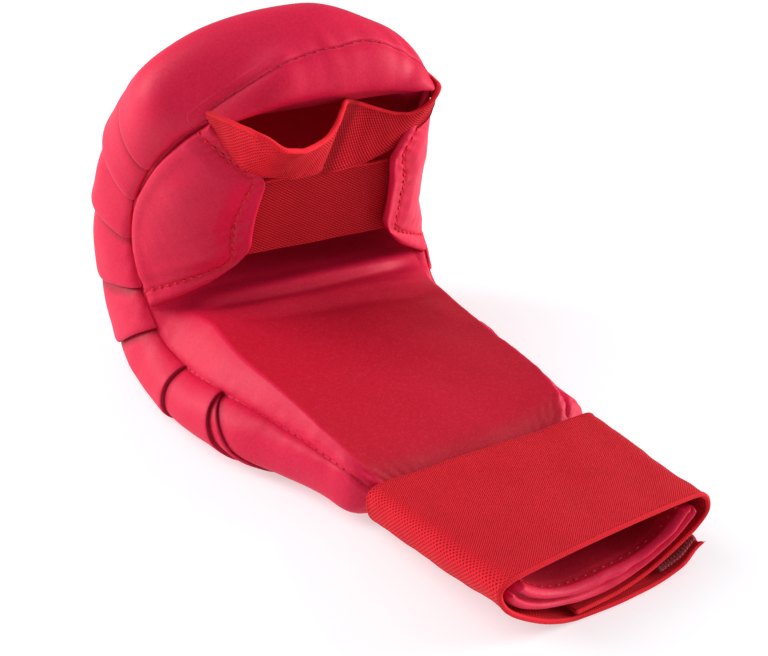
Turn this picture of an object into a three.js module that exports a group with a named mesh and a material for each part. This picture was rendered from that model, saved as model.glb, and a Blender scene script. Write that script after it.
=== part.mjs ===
// Karate mitt for the left hand, lying on the back of the hand with the palm side up.
// Millimetres, +Z up. While it is shaped, y = 0 is the wrist mouth, +y runs to the knuckles
// and +x to the little finger's side. The finished group stands on z = 0 about its own centre.

import * as THREE from 'three';
import { mergeVertices } from 'three/addons/utils/BufferGeometryUtils.js';

// Driving dimensions
const KNUCKLE_SLANT = 8.6;        // degrees that the knuckle line leans back on the little finger's side
const SLANT_FULL_AT = 155;        // y where the slant is whole; it is nothing at the mouth
const STATIONS = 64;              // rings along the padded body
const SKIN_STEPS = 8;             // quads from the middle of the outer skin to its widest line
const TURN_STEPS = 3;             // quads from the widest line to the side seam
const SHOULDER_STEPS = 3;         // quads from the side seam to the lining's shoulder
const LINING_STEPS = 8;           // quads from the shoulder to the middle of the lining
const SHOULDER_IN = 0.84;         // place of the shoulder, as a share of the seam's half width
const TIP_FACE_STEPS = 3;         // quads across the stitched face at the finger tips
const TIP_FACE_CROWN = 2.2;       // how far that face is crowned
const WRIST_FACE_CROWN = 1.2;     // the same at the wrist

const CHEEK_STEPS = { inward: 9, up: 14 };
const CHEEK_THICK = 3.6;          // padded cheek, at its middle
const CHEEK_EDGE = 2.0;           // the same at its sewn and free edges
const CHEEK_PUFF = 7.0;           // how far a cheek bulges off its frame
const CHEEK_OFF_SEAM = 2.9;       // from the body's seam to the middle of the cheek's sewn edge
const CHEEK_IN_SEAM = 1.2;        // how far that edge stands in from the seam's half width
const CHEEK_FROM = 12.15;         // stretch of the body's sections that a cheek is sewn to
const CHEEK_TO = 18;
const CHEEK_TOP_TURN = 0.45;      // how far its top corner leaves the seam forwards rather than inwards
const CHEEK_FREE_BOW = 1.5;       // how far its free edge bows outwards

const ELASTIC_THICK = 1.8;
const PALM_ELASTIC = { half: 30.2, low: 54.2, high: 86.8, lowY: 172.4, highY: 163.4, taper: 0.88 };
const PALM_STEPS = { across: 10, up: 3 };
const STRAP_LENGTH = 66;          // width of the wrist elastic, along y
const STRAP_STEPS = { around: 76, along: 4 };
const FINGER_STEPS = { along: 40, up: 2 };

// Hook strip, with its stretch of the wrist elastic, its rise off it and its distance from its edges
const HOOK = { from: 0.895, to: 0.995, thick: 1.1, lift: 2.05, inset: 2 };
const HOOK_STEPS = { around: 7, along: 2 };

const RED_LEATHERETTE = { color: 0xc42347, roughness: 0.42, metalness: 0 };
const RED_ELASTIC = { color: 0xc81e2a, roughness: 0.85, metalness: 0 };
const DARK_HOOK = { color: 0x8c1420, roughness: 0.9, metalness: 0 };

// A table is a list of rows with named columns
function table(columns, rows) {
  return rows.map((row) => Object.fromEntries(columns.map((name, k) => [name, row[k]])));
}

// Sections of the padded body, wrist to finger tips. y and z are the side seam's place, turn the way
// that the outer skin faces, in degrees from straight down to the knuckles and up. Across that way,
// depth is the outer skin's, mid the lining's and ridge the shoulder's height off the seam's level.
// seam and bulge are half widths, L on the thumb's side and R on the other; bulgeAt is the depth of
// the widest line and square the power of the skin's curve.
const BODY = table(
  ['y', 'z', 'turn', 'depth', 'mid', 'ridge', 'seamL', 'bulgeL', 'seamR', 'bulgeR', 'bulgeAt', 'square'],
  [
    [3.0, 21.5, 0, 16.6, 11.0, 0.4, 34.8, 35.4, 34.4, 35.0, 3.0, 1.6],
    [26, 18.5, 0, 12.4, 5.4, 0.6, 35.6, 36.2, 35.0, 35.6, 3.0, 1.7],
    [47, 15.7, 0, 9.2, 1.8, 0.8, 36.8, 37.4, 36.0, 36.6, 2.2, 2.0],
    [60, 14.4, 0, 7.6, -0.6, 1.6, 38.0, 38.6, 37.2, 37.8, 1.8, 2.2],
    [67, 15.0, 0, 8.8, -1.2, 2.2, 38.8, 39.4, 38.4, 39.0, 2.2, 2.4],
    [74, 20.5, 0, 20.6, -0.8, 2.8, 43.8, 45.8, 44.2, 46.2, 10.0, 3.0],
    [85, 22.8, 0, 23.4, -0.6, 3.8, 45.8, 50.0, 45.0, 48.2, 12.0, 3.0],
    [100, 23.8, 0, 24.6, -0.6, 5.0, 48.6, 55.8, 46.4, 52.0, 13.0, 3.0],
    [118, 24.0, 0, 25.0, -2.0, 7.0, 53.0, 63.5, 48.0, 56.0, 14.0, 3.0],
    [140, 22.0, 0, 23.0, -5.5, 10.0, 57.5, 70.5, 50.0, 59.5, 13.0, 3.0],
    [162, 19.5, 2, 20.5, -10.5, 13.5, 59.0, 72.0, 52.5, 61.0, 12.0, 3.0],
    [177, 21.5, 20, 23.4, -12.5, 11.0, 59.5, 71.5, 55.0, 62.0, 14.0, 2.8],
    [188, 31.0, 47, 42.0, -9.0, 3.0, 60.0, 69.5, 57.0, 62.0, 20.0, 2.5],
    [196, 43.0, 74, 47.0, 8.0, 2.0, 59.5, 67.5, 57.0, 62.0, 20.0, 2.3],
    [199.5, 57.0, 98, 45.5, 20.0, 1.5, 59.0, 65.5, 56.5, 61.5, 18.0, 2.2],
    [194, 74.0, 122, 42.5, 22.0, 1.2, 58.5, 65.0, 54.0, 58.5, 16.0, 2.2],
    [181, 92.0, 145, 42.0, 18.0, 1.0, 55.5, 65.0, 48.5, 51.5, 14.0, 2.2],
    [169, 106.0, 166, 38.0, 14.0, 0.8, 49.0, 59.5, 43.5, 45.5, 10.0, 2.1],
    [161.7, 112.8, 182, 20.0, 10.0, 0.3, 43.5, 45.5, 42.5, 43.5, 4.0, 2.0],
  ],
);

// Tucks gathered into the side seams: their place at the seam and out on the widest line, counted in
// sections of the body, and how far the skin puffs between one tuck and the next
const TUCKS = table(
  ['atSeam', 'atBulge', 'puff'],
  [
    [6.6, 6.4, 0.3],
    [8.65, 7.9, 1.5],
    [9.9, 9.4, 1.6],
    [11.5, 11.8, 1.9],
    [12.55, 13.2, 2.0],
    [14.05, 14.8, 2.0],
    [15.05, 15.95, 2.0],
    [16.2, 16.6, 1.4],
    [17.6, 17.8, 0],
  ],
);

// Soft folds pressed into the lining where the palm bends, counted in sections, with their depth
const PALM_FOLDS = table(
  ['at', 'wide', 'deep'],
  [
    [11.15, 0.16, 1.6],
    [11.62, 0.16, 1.9],
    [12.15, 0.18, 1.6],
  ],
);

// The free corners of a cheek, on the right side before the slant
const CHEEK_LOW = new THREE.Vector3(30, 169.5, 54);
const CHEEK_HIGH = new THREE.Vector3(24.5, 158.5, 89);
const CHEEK_OUT = new THREE.Vector3(0.66, -0.72, 0.1);

// Finger strap from the thumb's side to the other: its upper and its lower edge
const FINGER_STRAP = table(
  ['topX', 'topY', 'topZ', 'lowX', 'lowY', 'lowZ'],
  [
    [-42.5, 159.0, 116.0, -29.5, 161.0, 98.0],
    [-41.5, 150.5, 117.0, -27.0, 157.5, 94.0],
    [-36.5, 142.5, 114.5, -23.0, 156.5, 92.0],
    [-28.0, 137.5, 108.5, -17.0, 156.5, 91.0],
    [-17.0, 140.0, 107.5, -9.0, 157.5, 90.0],
    [-8.0, 145.0, 109.5, -3.5, 158.5, 89.2],
    [-2.0, 151.5, 112.5, 0.5, 160.0, 88.8],
    [4.0, 157.0, 114.5, 4.0, 161.0, 88.8],
    [12.0, 159.0, 112.0, 10.5, 160.5, 88.8],
    [21.5, 156.0, 109.0, 18.5, 157.5, 90.0],
    [31.0, 151.8, 108.5, 26.0, 152.4, 93.5],
    [37.5, 150.2, 112.5, 33.0, 149.8, 99.0],
    [39.2, 151.6, 121.5, 39.0, 149.4, 107.0],
  ],
);

// Middle surface of the wrist elastic, wound from its sewn end under the mitt's tongue round the
// little finger's side, over the top and back underneath to its free end: at the mouth and at the back
const WRIST_STRAP = table(
  ['mouthX', 'mouthZ', 'backX', 'backZ'],
  [
    [-12, 3.1, -16, 3.1],
    [4, 3.1, 4, 3.1],
    [17, 5.6, 20, 4.8],
    [27.5, 10.2, 33, 6.1],
    [35, 16.0, 40.6, 10.0],
    [38.6, 21.6, 43.3, 15.0],
    [37.0, 27.2, 41.6, 18.6],
    [29, 28.7, 33, 19.3],
    [0, 29.5, 0, 19.3],
    [-30, 28.9, -33, 19.3],
    [-39.0, 27.6, -40.8, 18.7],
    [-41.4, 24.0, -42.6, 15.4],
    [-37.4, 17.2, -40.4, 8.6],
    [-30, 10.2, -34, 3.6],
    [-20, 3.9, -22, 0.95],
    [-10, 0.95, -8, 0.9],
    [8, 0.9, 8, 0.9],
    [22, 1.5, 22, 0.9],
    [32, 4.0, 33, 1.2],
    [40.3, 7.4, 42.5, 3.4],
  ],
);

const radians = THREE.MathUtils.degToRad;

function mix(a, b, share) {
  return a + (b - a) * share;
}

// A row between two rows of a table, on a Catmull-Rom curve through each of its columns
function between(rows, place) {
  const last = rows.length - 1;
  const t = Math.min(Math.max(place, 0), last);
  const i = Math.min(Math.floor(t), last - 1);
  const f = t - i;
  const row = {};
  for (const name of Object.keys(rows[0])) {
    const p1 = rows[i][name];
    const p2 = rows[i + 1][name];
    const p0 = i > 0 ? rows[i - 1][name] : 2 * p1 - p2;
    const p3 = i + 2 <= last ? rows[i + 2][name] : 2 * p2 - p1;
    row[name] = 0.5 * (2 * p1 + (p2 - p0) * f + (2 * p0 - 5 * p1 + 4 * p2 - p3) * f * f
      + (3 * p1 - p0 - 3 * p2 + p3) * f * f * f);
  }
  return row;
}

// The knuckle line's lean: points are moved back on the right and forward on the left
function slanted(point) {
  const share = THREE.MathUtils.smoothstep(point.y, 0, SLANT_FULL_AT);
  point.y -= point.x * Math.tan(radians(KNUCKLE_SLANT)) * share;
  return point;
}

// Places of the rings, evenly spaced along the middle of the padding
function ringPlaces(count) {
  const fine = 400;
  const middle = (place) => {
    const s = between(BODY, place);
    const out = 0.55 * s.depth;
    return new THREE.Vector2(s.y + out * Math.sin(radians(s.turn)), s.z - out * Math.cos(radians(s.turn)));
  };
  const reach = [0];
  for (let k = 1; k <= fine; k += 1) {
    const scale = (BODY.length - 1) / fine;
    reach.push(reach[k - 1] + middle(k * scale).distanceTo(middle((k - 1) * scale)));
  }
  const places = [];
  let k = 1;
  for (let n = 0; n < count; n += 1) {
    const want = (n / (count - 1)) * reach[fine];
    while (k < fine && reach[k] < want) {
      k += 1;
    }
    const share = (want - reach[k - 1]) / (reach[k] - reach[k - 1]);
    places.push(((k - 1 + share) * (BODY.length - 1)) / fine);
  }
  return places;
}

// Puff of the outer skin between two tucks: nothing along a tuck, most halfway to the next.
// up is 0 on the middle of the outer skin, 1 at the seam.
function tuckPuff(place, up) {
  const fade = THREE.MathUtils.smoothstep(up, 0.22, 0.6) * (1 - 0.55 * THREE.MathUtils.smoothstep(up, 0.85, 1));
  const at = (tuck) => mix(tuck.atBulge, tuck.atSeam, THREE.MathUtils.smoothstep(up, 0.45, 1));
  for (let k = 0; k + 1 < TUCKS.length; k += 1) {
    const from = at(TUCKS[k]);
    const to = at(TUCKS[k + 1]);
    if (place >= from && place < to) {
      return TUCKS[k].puff * fade * (Math.sin((Math.PI * (place - from)) / (to - from)) ** 0.7 - 0.5);
    }
  }
  return 0;
}

// Depth of the lining's folds: nothing at the shoulder, whole well inside it
function palmFold(place, inward) {
  let drop = 0;
  for (const fold of PALM_FOLDS) {
    drop += fold.deep * Math.exp(-(((place - fold.at) / fold.wide) ** 2));
  }
  return drop * THREE.MathUtils.smoothstep(inward, 0.05, 0.4);
}

// Half of a ring, from the middle of the outer skin over the widest line, the seam and the shoulder
// to the middle of the lining, as pairs of x and depth. Nothing of it goes under the floor.
function halfRing(place, side) {
  const s = between(BODY, place);
  const seam = side > 0 ? s.seamR : s.seamL;
  const bulge = side > 0 ? s.bulgeR : s.bulgeL;
  const shoulder = seam * SHOULDER_IN;
  const steps = SKIN_STEPS + TURN_STEPS;
  const power = 2 / s.square;
  const half = [];
  for (let k = 0; k < SKIN_STEPS; k += 1) {
    const angle = (Math.PI / 2) * (1 - k / SKIN_STEPS);
    const puff = tuckPuff(place, k / steps);
    const x = bulge * Math.cos(angle) ** power + puff * Math.cos(angle);
    const depth = mix(s.bulgeAt, s.depth, Math.sin(angle) ** power) + puff * Math.sin(angle);
    half.push([x, depth]);
  }
  for (let k = 0; k < TURN_STEPS; k += 1) {
    const angle = (Math.PI / 2) * (k / TURN_STEPS);
    const puff = tuckPuff(place, (SKIN_STEPS + k) / steps);
    const x = mix(seam, bulge, Math.cos(angle)) + puff * Math.cos(angle);
    const depth = s.bulgeAt * (1 - Math.sin(angle)) - puff * Math.sin(angle);
    half.push([x, depth]);
  }
  for (let k = 0; k < SHOULDER_STEPS; k += 1) {
    const angle = (Math.PI / 2) * (k / SHOULDER_STEPS);
    half.push([mix(shoulder, seam, Math.cos(angle)), -s.ridge * Math.sin(angle)]);
  }
  for (let k = 0; k <= LINING_STEPS; k += 1) {
    const share = k / LINING_STEPS;
    const depth = mix(-s.ridge, s.mid, (1 - Math.cos(Math.PI * share)) / 2);
    half.push([shoulder * (1 - share), depth + palmFold(place, share)]);
  }
  return half.map(([x, depth]) => slanted(new THREE.Vector3(
    side * x,
    s.y + depth * Math.sin(radians(s.turn)),
    Math.max(s.z - depth * Math.cos(radians(s.turn)), 0),
  )));
}

// A whole ring: up the right side from the outer skin to the lining and down the left side
function ring(place) {
  const right = halfRing(place, 1);
  const left = halfRing(place, -1);
  return [...right, ...left.slice(1, -1).reverse()];
}

// Turns a mesh right side out if its volume comes out negative
function facingOut(geometry) {
  const position = geometry.getAttribute('position');
  const index = geometry.getIndex().array;
  const corner = (k) => new THREE.Vector3().fromBufferAttribute(position, index[k]);
  let volume = 0;
  for (let k = 0; k < index.length; k += 3) {
    volume += corner(k).dot(corner(k + 1).cross(corner(k + 2)));
  }
  if (volume < 0) {
    for (let k = 0; k < index.length; k += 3) {
      [index[k + 1], index[k + 2]] = [index[k + 2], index[k + 1]];
    }
  }
  return geometry;
}

function solidFrom(points, faces) {
  const geometry = new THREE.BufferGeometry();
  geometry.setAttribute('position', new THREE.Float32BufferAttribute(points.flatMap((p) => p.toArray()), 3));
  geometry.setIndex(faces);
  return facingOut(mergeVertices(geometry, 1e-4));
}

// Skin over rings, each closed by a crowned face that runs from the outer skin to the lining
function ringSolid(rings, crowns) {
  const points = rings.flat();
  const count = rings[0].length;
  const faces = [];
  const quad = (a, b, c, d) => faces.push(a, b, c, a, c, d);
  for (let i = 0; i + 1 < rings.length; i += 1) {
    for (let j = 0; j < count; j += 1) {
      const next = (j + 1) % count;
      quad(i * count + j, i * count + next, (i + 1) * count + next, (i + 1) * count + j);
    }
  }
  const half = count / 2;
  const endFace = (ringIndex, crown, first) => {
    const start = ringIndex * count;
    const outerOf = (j) => start + ((j + count) % count);
    const liningOf = (j) => start + ((half - j + count) % count);
    const seamStep = half / 2;
    const columns = [];
    for (let j = -seamStep; j <= seamStep; j += 1) {
      const from = points[outerOf(j)];
      const to = points[liningOf(j)];
      const column = [outerOf(j)];
      for (let k = 1; k < TIP_FACE_STEPS; k += 1) {
        const share = k / TIP_FACE_STEPS;
        if (Math.abs(j) === seamStep) {
          column.push(outerOf(j));
        } else {
          const p = from.clone().lerp(to, share);
          p.y -= crown * Math.sin(Math.PI * share) * Math.min(1, (1.6 * (seamStep - Math.abs(j))) / seamStep);
          points.push(p);
          column.push(points.length - 1);
        }
      }
      column.push(liningOf(j));
      columns.push(column);
    }
    for (let c = 0; c + 1 < columns.length; c += 1) {
      for (let k = 0; k < TIP_FACE_STEPS; k += 1) {
        const [a, b, d, e] = [columns[c][k], columns[c][k + 1], columns[c + 1][k + 1], columns[c + 1][k]];
        const triangles = first ? [[a, b, d], [a, d, e]] : [[a, d, b], [a, e, d]];
        for (const [p, q, r] of triangles) {
          if (p !== q && q !== r && p !== r) {
            faces.push(p, q, r);
          }
        }
      }
    }
  };
  endFace(0, crowns[0], true);
  endFace(rings.length - 1, crowns[1], false);
  return solidFrom(points, faces);
}

// Closed slab about a grid of points, as thick at each point as thick says
function slab(grid, thick) {
  const rows = grid.length;
  const columns = grid[0].length;
  const points = [];
  const at = (i, j) => grid[Math.min(Math.max(i, 0), rows - 1)][Math.min(Math.max(j, 0), columns - 1)];
  const normals = grid.map((row, i) => row.map((_, j) => {
    const along = at(i + 1, j).clone().sub(at(i - 1, j));
    const across = at(i, j + 1).clone().sub(at(i, j - 1));
    return along.cross(across).normalize();
  }));
  for (const sign of [1, -1]) {
    for (let i = 0; i < rows; i += 1) {
      for (let j = 0; j < columns; j += 1) {
        points.push(grid[i][j].clone().addScaledVector(normals[i][j], (sign * thick(i, j)) / 2));
      }
    }
  }
  const faces = [];
  const top = (i, j) => i * columns + j;
  const low = (i, j) => rows * columns + i * columns + j;
  const quad = (a, b, c, d) => faces.push(a, b, c, a, c, d);
  for (let i = 0; i + 1 < rows; i += 1) {
    for (let j = 0; j + 1 < columns; j += 1) {
      quad(top(i, j), top(i + 1, j), top(i + 1, j + 1), top(i, j + 1));
      quad(low(i, j), low(i, j + 1), low(i + 1, j + 1), low(i + 1, j));
    }
    quad(top(i, 0), low(i, 0), low(i + 1, 0), top(i + 1, 0));
    const j = columns - 1;
    quad(top(i, j), top(i + 1, j), low(i + 1, j), low(i, j));
  }
  for (let j = 0; j + 1 < columns; j += 1) {
    quad(top(0, j), top(0, j + 1), low(0, j + 1), low(0, j));
    const i = rows - 1;
    quad(top(i, j), low(i, j), low(i, j + 1), top(i, j + 1));
  }
  return solidFrom(points, faces);
}

function body() {
  return ringSolid(ringPlaces(STATIONS).map(ring), [WRIST_FACE_CROWN, TIP_FACE_CROWN]);
}

// Cheek: a surface filled between four edges. One is sewn along the body's side seam; the others
// run free, and its middle bulges outwards. side is 1 on the right and -1 on the left.
function cheek(side) {
  const seamAt = (share) => {
    const s = between(BODY, mix(CHEEK_FROM, CHEEK_TO, share));
    const turn = radians(s.turn * (1 - CHEEK_TOP_TURN * share ** 4));
    const half = side > 0 ? s.seamR : s.seamL;
    return new THREE.Vector3(
      half - CHEEK_IN_SEAM,
      s.y - CHEEK_OFF_SEAM * Math.sin(turn),
      s.z + CHEEK_OFF_SEAM * Math.cos(turn),
    );
  };
  const low = seamAt(0);
  const high = seamAt(1);
  const grid = [];
  for (let i = 0; i <= CHEEK_STEPS.up; i += 1) {
    const up = i / CHEEK_STEPS.up;
    const sewn = seamAt(up);
    const free = CHEEK_LOW.clone().lerp(CHEEK_HIGH, up);
    free.x += CHEEK_FREE_BOW * Math.sin(Math.PI * up);
    const row = [];
    for (let j = 0; j <= CHEEK_STEPS.inward; j += 1) {
      const inward = j / CHEEK_STEPS.inward;
      const across = sewn.clone().lerp(free, inward);
      const upward = low.clone().lerp(CHEEK_LOW, inward).lerp(high.clone().lerp(CHEEK_HIGH, inward), up);
      const corners = low.clone().lerp(high, up).lerp(CHEEK_LOW.clone().lerp(CHEEK_HIGH, up), inward);
      const p = across.add(upward).sub(corners);
      const puff = CHEEK_PUFF * Math.sin(Math.PI * inward) ** 0.9 * Math.sin(Math.PI * up) ** 0.6;
      p.addScaledVector(CHEEK_OUT, puff);
      p.x *= side;
      row.push(slanted(p));
    }
    grid.push(row);
  }
  const thick = (i, j) => {
    const inside = Math.sin((Math.PI * i) / CHEEK_STEPS.up) * Math.sin((Math.PI * j) / CHEEK_STEPS.inward);
    return mix(CHEEK_EDGE, CHEEK_THICK, Math.sqrt(Math.max(inside, 0)));
  };
  return slab(grid, thick);
}

function palmElastic() {
  const e = PALM_ELASTIC;
  const grid = [];
  for (let i = 0; i <= PALM_STEPS.across; i += 1) {
    const x = mix(-e.half, e.half, i / PALM_STEPS.across);
    const row = [];
    for (let j = 0; j <= PALM_STEPS.up; j += 1) {
      const up = j / PALM_STEPS.up;
      const p = new THREE.Vector3(x * mix(1, e.taper, up), mix(e.lowY, e.highY, up), mix(e.low, e.high, up));
      row.push(slanted(p));
    }
    grid.push(row);
  }
  return slab(grid, () => ELASTIC_THICK);
}

function fingerStrap() {
  const grid = [];
  for (let i = 0; i <= FINGER_STEPS.along; i += 1) {
    const s = between(FINGER_STRAP, (i / FINGER_STEPS.along) * (FINGER_STRAP.length - 1));
    const top = new THREE.Vector3(s.topX, s.topY, s.topZ);
    const low = new THREE.Vector3(s.lowX, s.lowY, s.lowZ);
    const row = [];
    for (let j = 0; j <= FINGER_STEPS.up; j += 1) {
      row.push(low.clone().lerp(top, j / FINGER_STEPS.up));
    }
    grid.push(row);
  }
  return slab(grid, () => ELASTIC_THICK);
}

// Point of the wrist elastic's middle surface: around from 0 to 1, back from 0 at the mouth to 1
function wristPoint(around, back) {
  const s = between(WRIST_STRAP, around * (WRIST_STRAP.length - 1));
  return slanted(new THREE.Vector3(
    mix(s.mouthX, s.backX, back),
    STRAP_LENGTH * back,
    Math.max(mix(s.mouthZ, s.backZ, back), ELASTIC_THICK / 2),
  ));
}

function wristStrap() {
  const grid = [];
  for (let i = 0; i <= STRAP_STEPS.around; i += 1) {
    const row = [];
    for (let j = 0; j <= STRAP_STEPS.along; j += 1) {
      row.push(wristPoint(i / STRAP_STEPS.around, j / STRAP_STEPS.along));
    }
    grid.push(row);
  }
  return slab(grid, () => ELASTIC_THICK);
}

// Hook strip on the inner face of the elastic's free end
function hookPatch() {
  const grid = [];
  const margin = HOOK.inset / STRAP_LENGTH;
  for (let i = 0; i <= HOOK_STEPS.around; i += 1) {
    const around = mix(HOOK.from, HOOK.to, i / HOOK_STEPS.around);
    const row = [];
    for (let j = 0; j <= HOOK_STEPS.along; j += 1) {
      const p = wristPoint(around, mix(margin, 1 - margin, j / HOOK_STEPS.along));
      p.z += HOOK.lift;
      row.push(p);
    }
    grid.push(row);
  }
  return slab(grid, () => HOOK.thick);
}

function piece(name, geometry, look) {
  const mesh = new THREE.Mesh(geometry, new THREE.MeshStandardMaterial(look));
  mesh.name = name;
  return mesh;
}

const pieces = [
  piece('padded_body', body(), RED_LEATHERETTE),
  piece('cheek_left', cheek(-1), RED_LEATHERETTE),
  piece('cheek_right', cheek(1), RED_LEATHERETTE),
  piece('palm_elastic', palmElastic(), RED_ELASTIC),
  piece('finger_strap', fingerStrap(), RED_ELASTIC),
  piece('wrist_strap', wristStrap(), RED_ELASTIC),
  piece('hook_patch', hookPatch(), DARK_HOOK),
];

const mitt = new THREE.Group();
mitt.add(...pieces);
const box = new THREE.Box3().setFromObject(mitt);
const middle = box.getCenter(new THREE.Vector3());
mitt.position.set(-middle.x, -middle.y, -box.min.z);

export default mitt;
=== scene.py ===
"""A padded karate mitt for the left hand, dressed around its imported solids.

The mitt lies on the back of its padding with the palm side up. Shapes are worked out in millimetres
in the mitt's own layout, where y = 0 is the wrist mouth, +y runs to the knuckles and +x to the
little finger's side, and are then moved to the part's frame and turned into metres.
"""

import logging
from dataclasses import dataclass, field
from enum import Enum

import bpy
import numpy as np
from mathutils import Matrix


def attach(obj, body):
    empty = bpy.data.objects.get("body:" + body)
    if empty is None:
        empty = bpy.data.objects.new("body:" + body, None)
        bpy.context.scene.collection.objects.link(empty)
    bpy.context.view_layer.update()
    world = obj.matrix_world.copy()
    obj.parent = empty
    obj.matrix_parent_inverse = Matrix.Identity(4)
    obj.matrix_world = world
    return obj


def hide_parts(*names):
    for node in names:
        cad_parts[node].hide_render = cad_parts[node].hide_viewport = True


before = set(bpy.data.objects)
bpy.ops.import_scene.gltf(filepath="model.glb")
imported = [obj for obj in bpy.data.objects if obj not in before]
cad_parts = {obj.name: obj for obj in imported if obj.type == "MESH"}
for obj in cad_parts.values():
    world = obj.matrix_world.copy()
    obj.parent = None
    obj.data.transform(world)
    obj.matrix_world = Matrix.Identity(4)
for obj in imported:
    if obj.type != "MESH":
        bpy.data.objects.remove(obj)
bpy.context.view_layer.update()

log = logging.getLogger("mitt")

MM = 0.001
LAYOUT_TO_PART = np.array([4.911, -123.843, 0.0])   # mm, from the layout's origin to the part's
KNUCKLE_SLANT = np.tan(np.radians(8.6))             # lean of the knuckle line, back on the right
SLANT_FULL_AT = 155.0                               # mm from the wrist mouth
WELD = 2e-4                                         # mm, points closer than this are one
FLOOR_CLEAR = 0.15                                  # mm between the lowest cloth and the floor
CLOTH_UNIT = 400.0                                  # mm in one unit of the cloth coordinates
WAVES = 9                                           # sine waves in one layer of unevenness

Colour = tuple[float, float, float]
Place = tuple[float, float, float]
Curve = tuple[tuple[float, ...], tuple[float, ...]]   # places and the values there
Layers = tuple[tuple[float, int, float], ...]         # size in mm, seed and height of each layer


# ---------------------------------------------------------------- numbers


def smooth(low: float, high: float, value: np.ndarray) -> np.ndarray:
    """Smoothstep of value from low to high.

    Args:
        low: Where the step starts.
        high: Where it is whole.
        value: The numbers to step.

    Returns:
        3 t^2 - 2 t^3 of the clamped share t of the way from low to high.
    """
    t = np.clip((np.asarray(value, float) - low) / (high - low), 0.0, 1.0)
    return t * t * (3.0 - 2.0 * t)


def mix(a: np.ndarray, b: np.ndarray, share: np.ndarray) -> np.ndarray:
    """The number that is share of the way from a to b."""
    return a + (b - a) * share


def bell(value: np.ndarray, width: float) -> np.ndarray:
    """exp(-(value / width)^2): 1 at nothing, fading over width."""
    return np.exp(-((value / width) ** 2))


def spread(count: int, ends: float) -> np.ndarray:
    """Shares from 0 to 1, closer together near both ends.

    Args:
        count: How many there are.
        ends: 0 for even steps and 1 for steps of (1 - cos pi t) / 2.

    Returns:
        The shares.
    """
    t = np.linspace(0, 1, count)
    return mix(t, (1 - np.cos(np.pi * t)) / 2, ends)


def catmull(rows: np.ndarray, place: np.ndarray) -> np.ndarray:
    """Rows of a table at fractional places, on a Catmull-Rom curve through each column.

    Args:
        rows: Table of shape (n, columns).
        place: Places counted in rows, of any shape.

    Returns:
        Array of place's shape with one more axis, the columns.
    """
    last = len(rows) - 1
    t = np.clip(place, 0.0, last - 1e-9)
    i = np.floor(t).astype(int)
    f = (t - i)[..., None]
    p1, p2 = rows[i], rows[i + 1]
    p0 = np.where((i > 0)[..., None], rows[np.maximum(i - 1, 0)], 2 * p1 - p2)
    p3 = np.where((i + 2 <= last)[..., None], rows[np.minimum(i + 2, last)], 2 * p2 - p1)
    return 0.5 * (
        2 * p1 + (p2 - p0) * f + (2 * p0 - 5 * p1 + 4 * p2 - p3) * f**2
        + (3 * p1 - p0 - 3 * p2 + p3) * f**3
    )


def slanted(points: np.ndarray) -> np.ndarray:
    """Points moved along y by the knuckle line's lean: y less x tan(slant) smoothstep(y)."""
    out = points.copy()
    out[..., 1] -= points[..., 0] * KNUCKLE_SLANT * smooth(0.0, SLANT_FULL_AT, points[..., 1])
    return out


def ripples(points: np.ndarray, size: float, seed: int) -> np.ndarray:
    """Soft unevenness through space: a mean of sine waves in fixed random directions.

    Args:
        points: Points, (..., 3), in mm.
        size: Rough distance between swells, in mm.
        seed: Seed of the directions and phases.

    Returns:
        Values from about -1 to 1.
    """
    draw = np.random.default_rng(seed)
    directions = draw.normal(size=(WAVES, 3))
    directions /= np.linalg.norm(directions, axis=1)[:, None]
    lengths = size * draw.uniform(0.7, 1.6, WAVES)
    phases = draw.uniform(0, 2 * np.pi, WAVES)
    turns = points @ (directions / lengths[:, None]).T * 2 * np.pi + phases
    return np.sin(turns).sum(-1) / np.sqrt(WAVES) * 0.9


def uneven(points: np.ndarray, layers: Layers) -> np.ndarray:
    """Unevenness in layers: the sum of height x ripples(size, seed)."""
    return sum(height * ripples(points, size, seed) for size, seed, height in layers)


def gathers(across: np.ndarray, along: np.ndarray, fine: float, lean: float, sway: float = 0.0,
            sway_over: float = 1.0) -> np.ndarray:
    """Fine parallel gathers: sin(across / fine + sway sin(across / sway_over) + lean along).

    Args:
        across: Distance across the gathers, in mm.
        along: Distance along them, in mm.
        fine: Distance in which a gather turns by one radian, in mm.
        lean: How far they turn in each mm along.
        sway: How unevenly they are spaced.
        sway_over: Distance over which the spacing changes, in mm.

    Returns:
        Values from -1 to 1.
    """
    return np.sin(across / fine + sway * np.sin(across / sway_over) + lean * along)


def lengths_along(points: np.ndarray, axis: int) -> np.ndarray:
    """Distance run along one axis of a grid of points, from its start, in mm."""
    steps = np.linalg.norm(np.diff(points, axis=axis), axis=-1)
    shape = list(steps.shape)
    shape[axis] = 1
    return np.concatenate([np.zeros(shape), np.cumsum(steps, axis=axis)], axis=axis)


def normals_of(points: np.ndarray, wrap: bool = False) -> np.ndarray:
    """Unit normals of a grid: the cross product of its two central differences.

    Args:
        points: Grid (n, m, 3).
        wrap: Whether the second axis closes on itself.

    Returns:
        Normals (n, m, 3).
    """
    along = np.gradient(points, axis=0)
    if wrap:
        across = np.roll(points, -1, axis=1) - np.roll(points, 1, axis=1)
    else:
        across = np.gradient(points, axis=1)
    cross = np.cross(along, across)
    return cross / np.maximum(np.linalg.norm(cross, axis=-1, keepdims=True), 1e-9)


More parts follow.
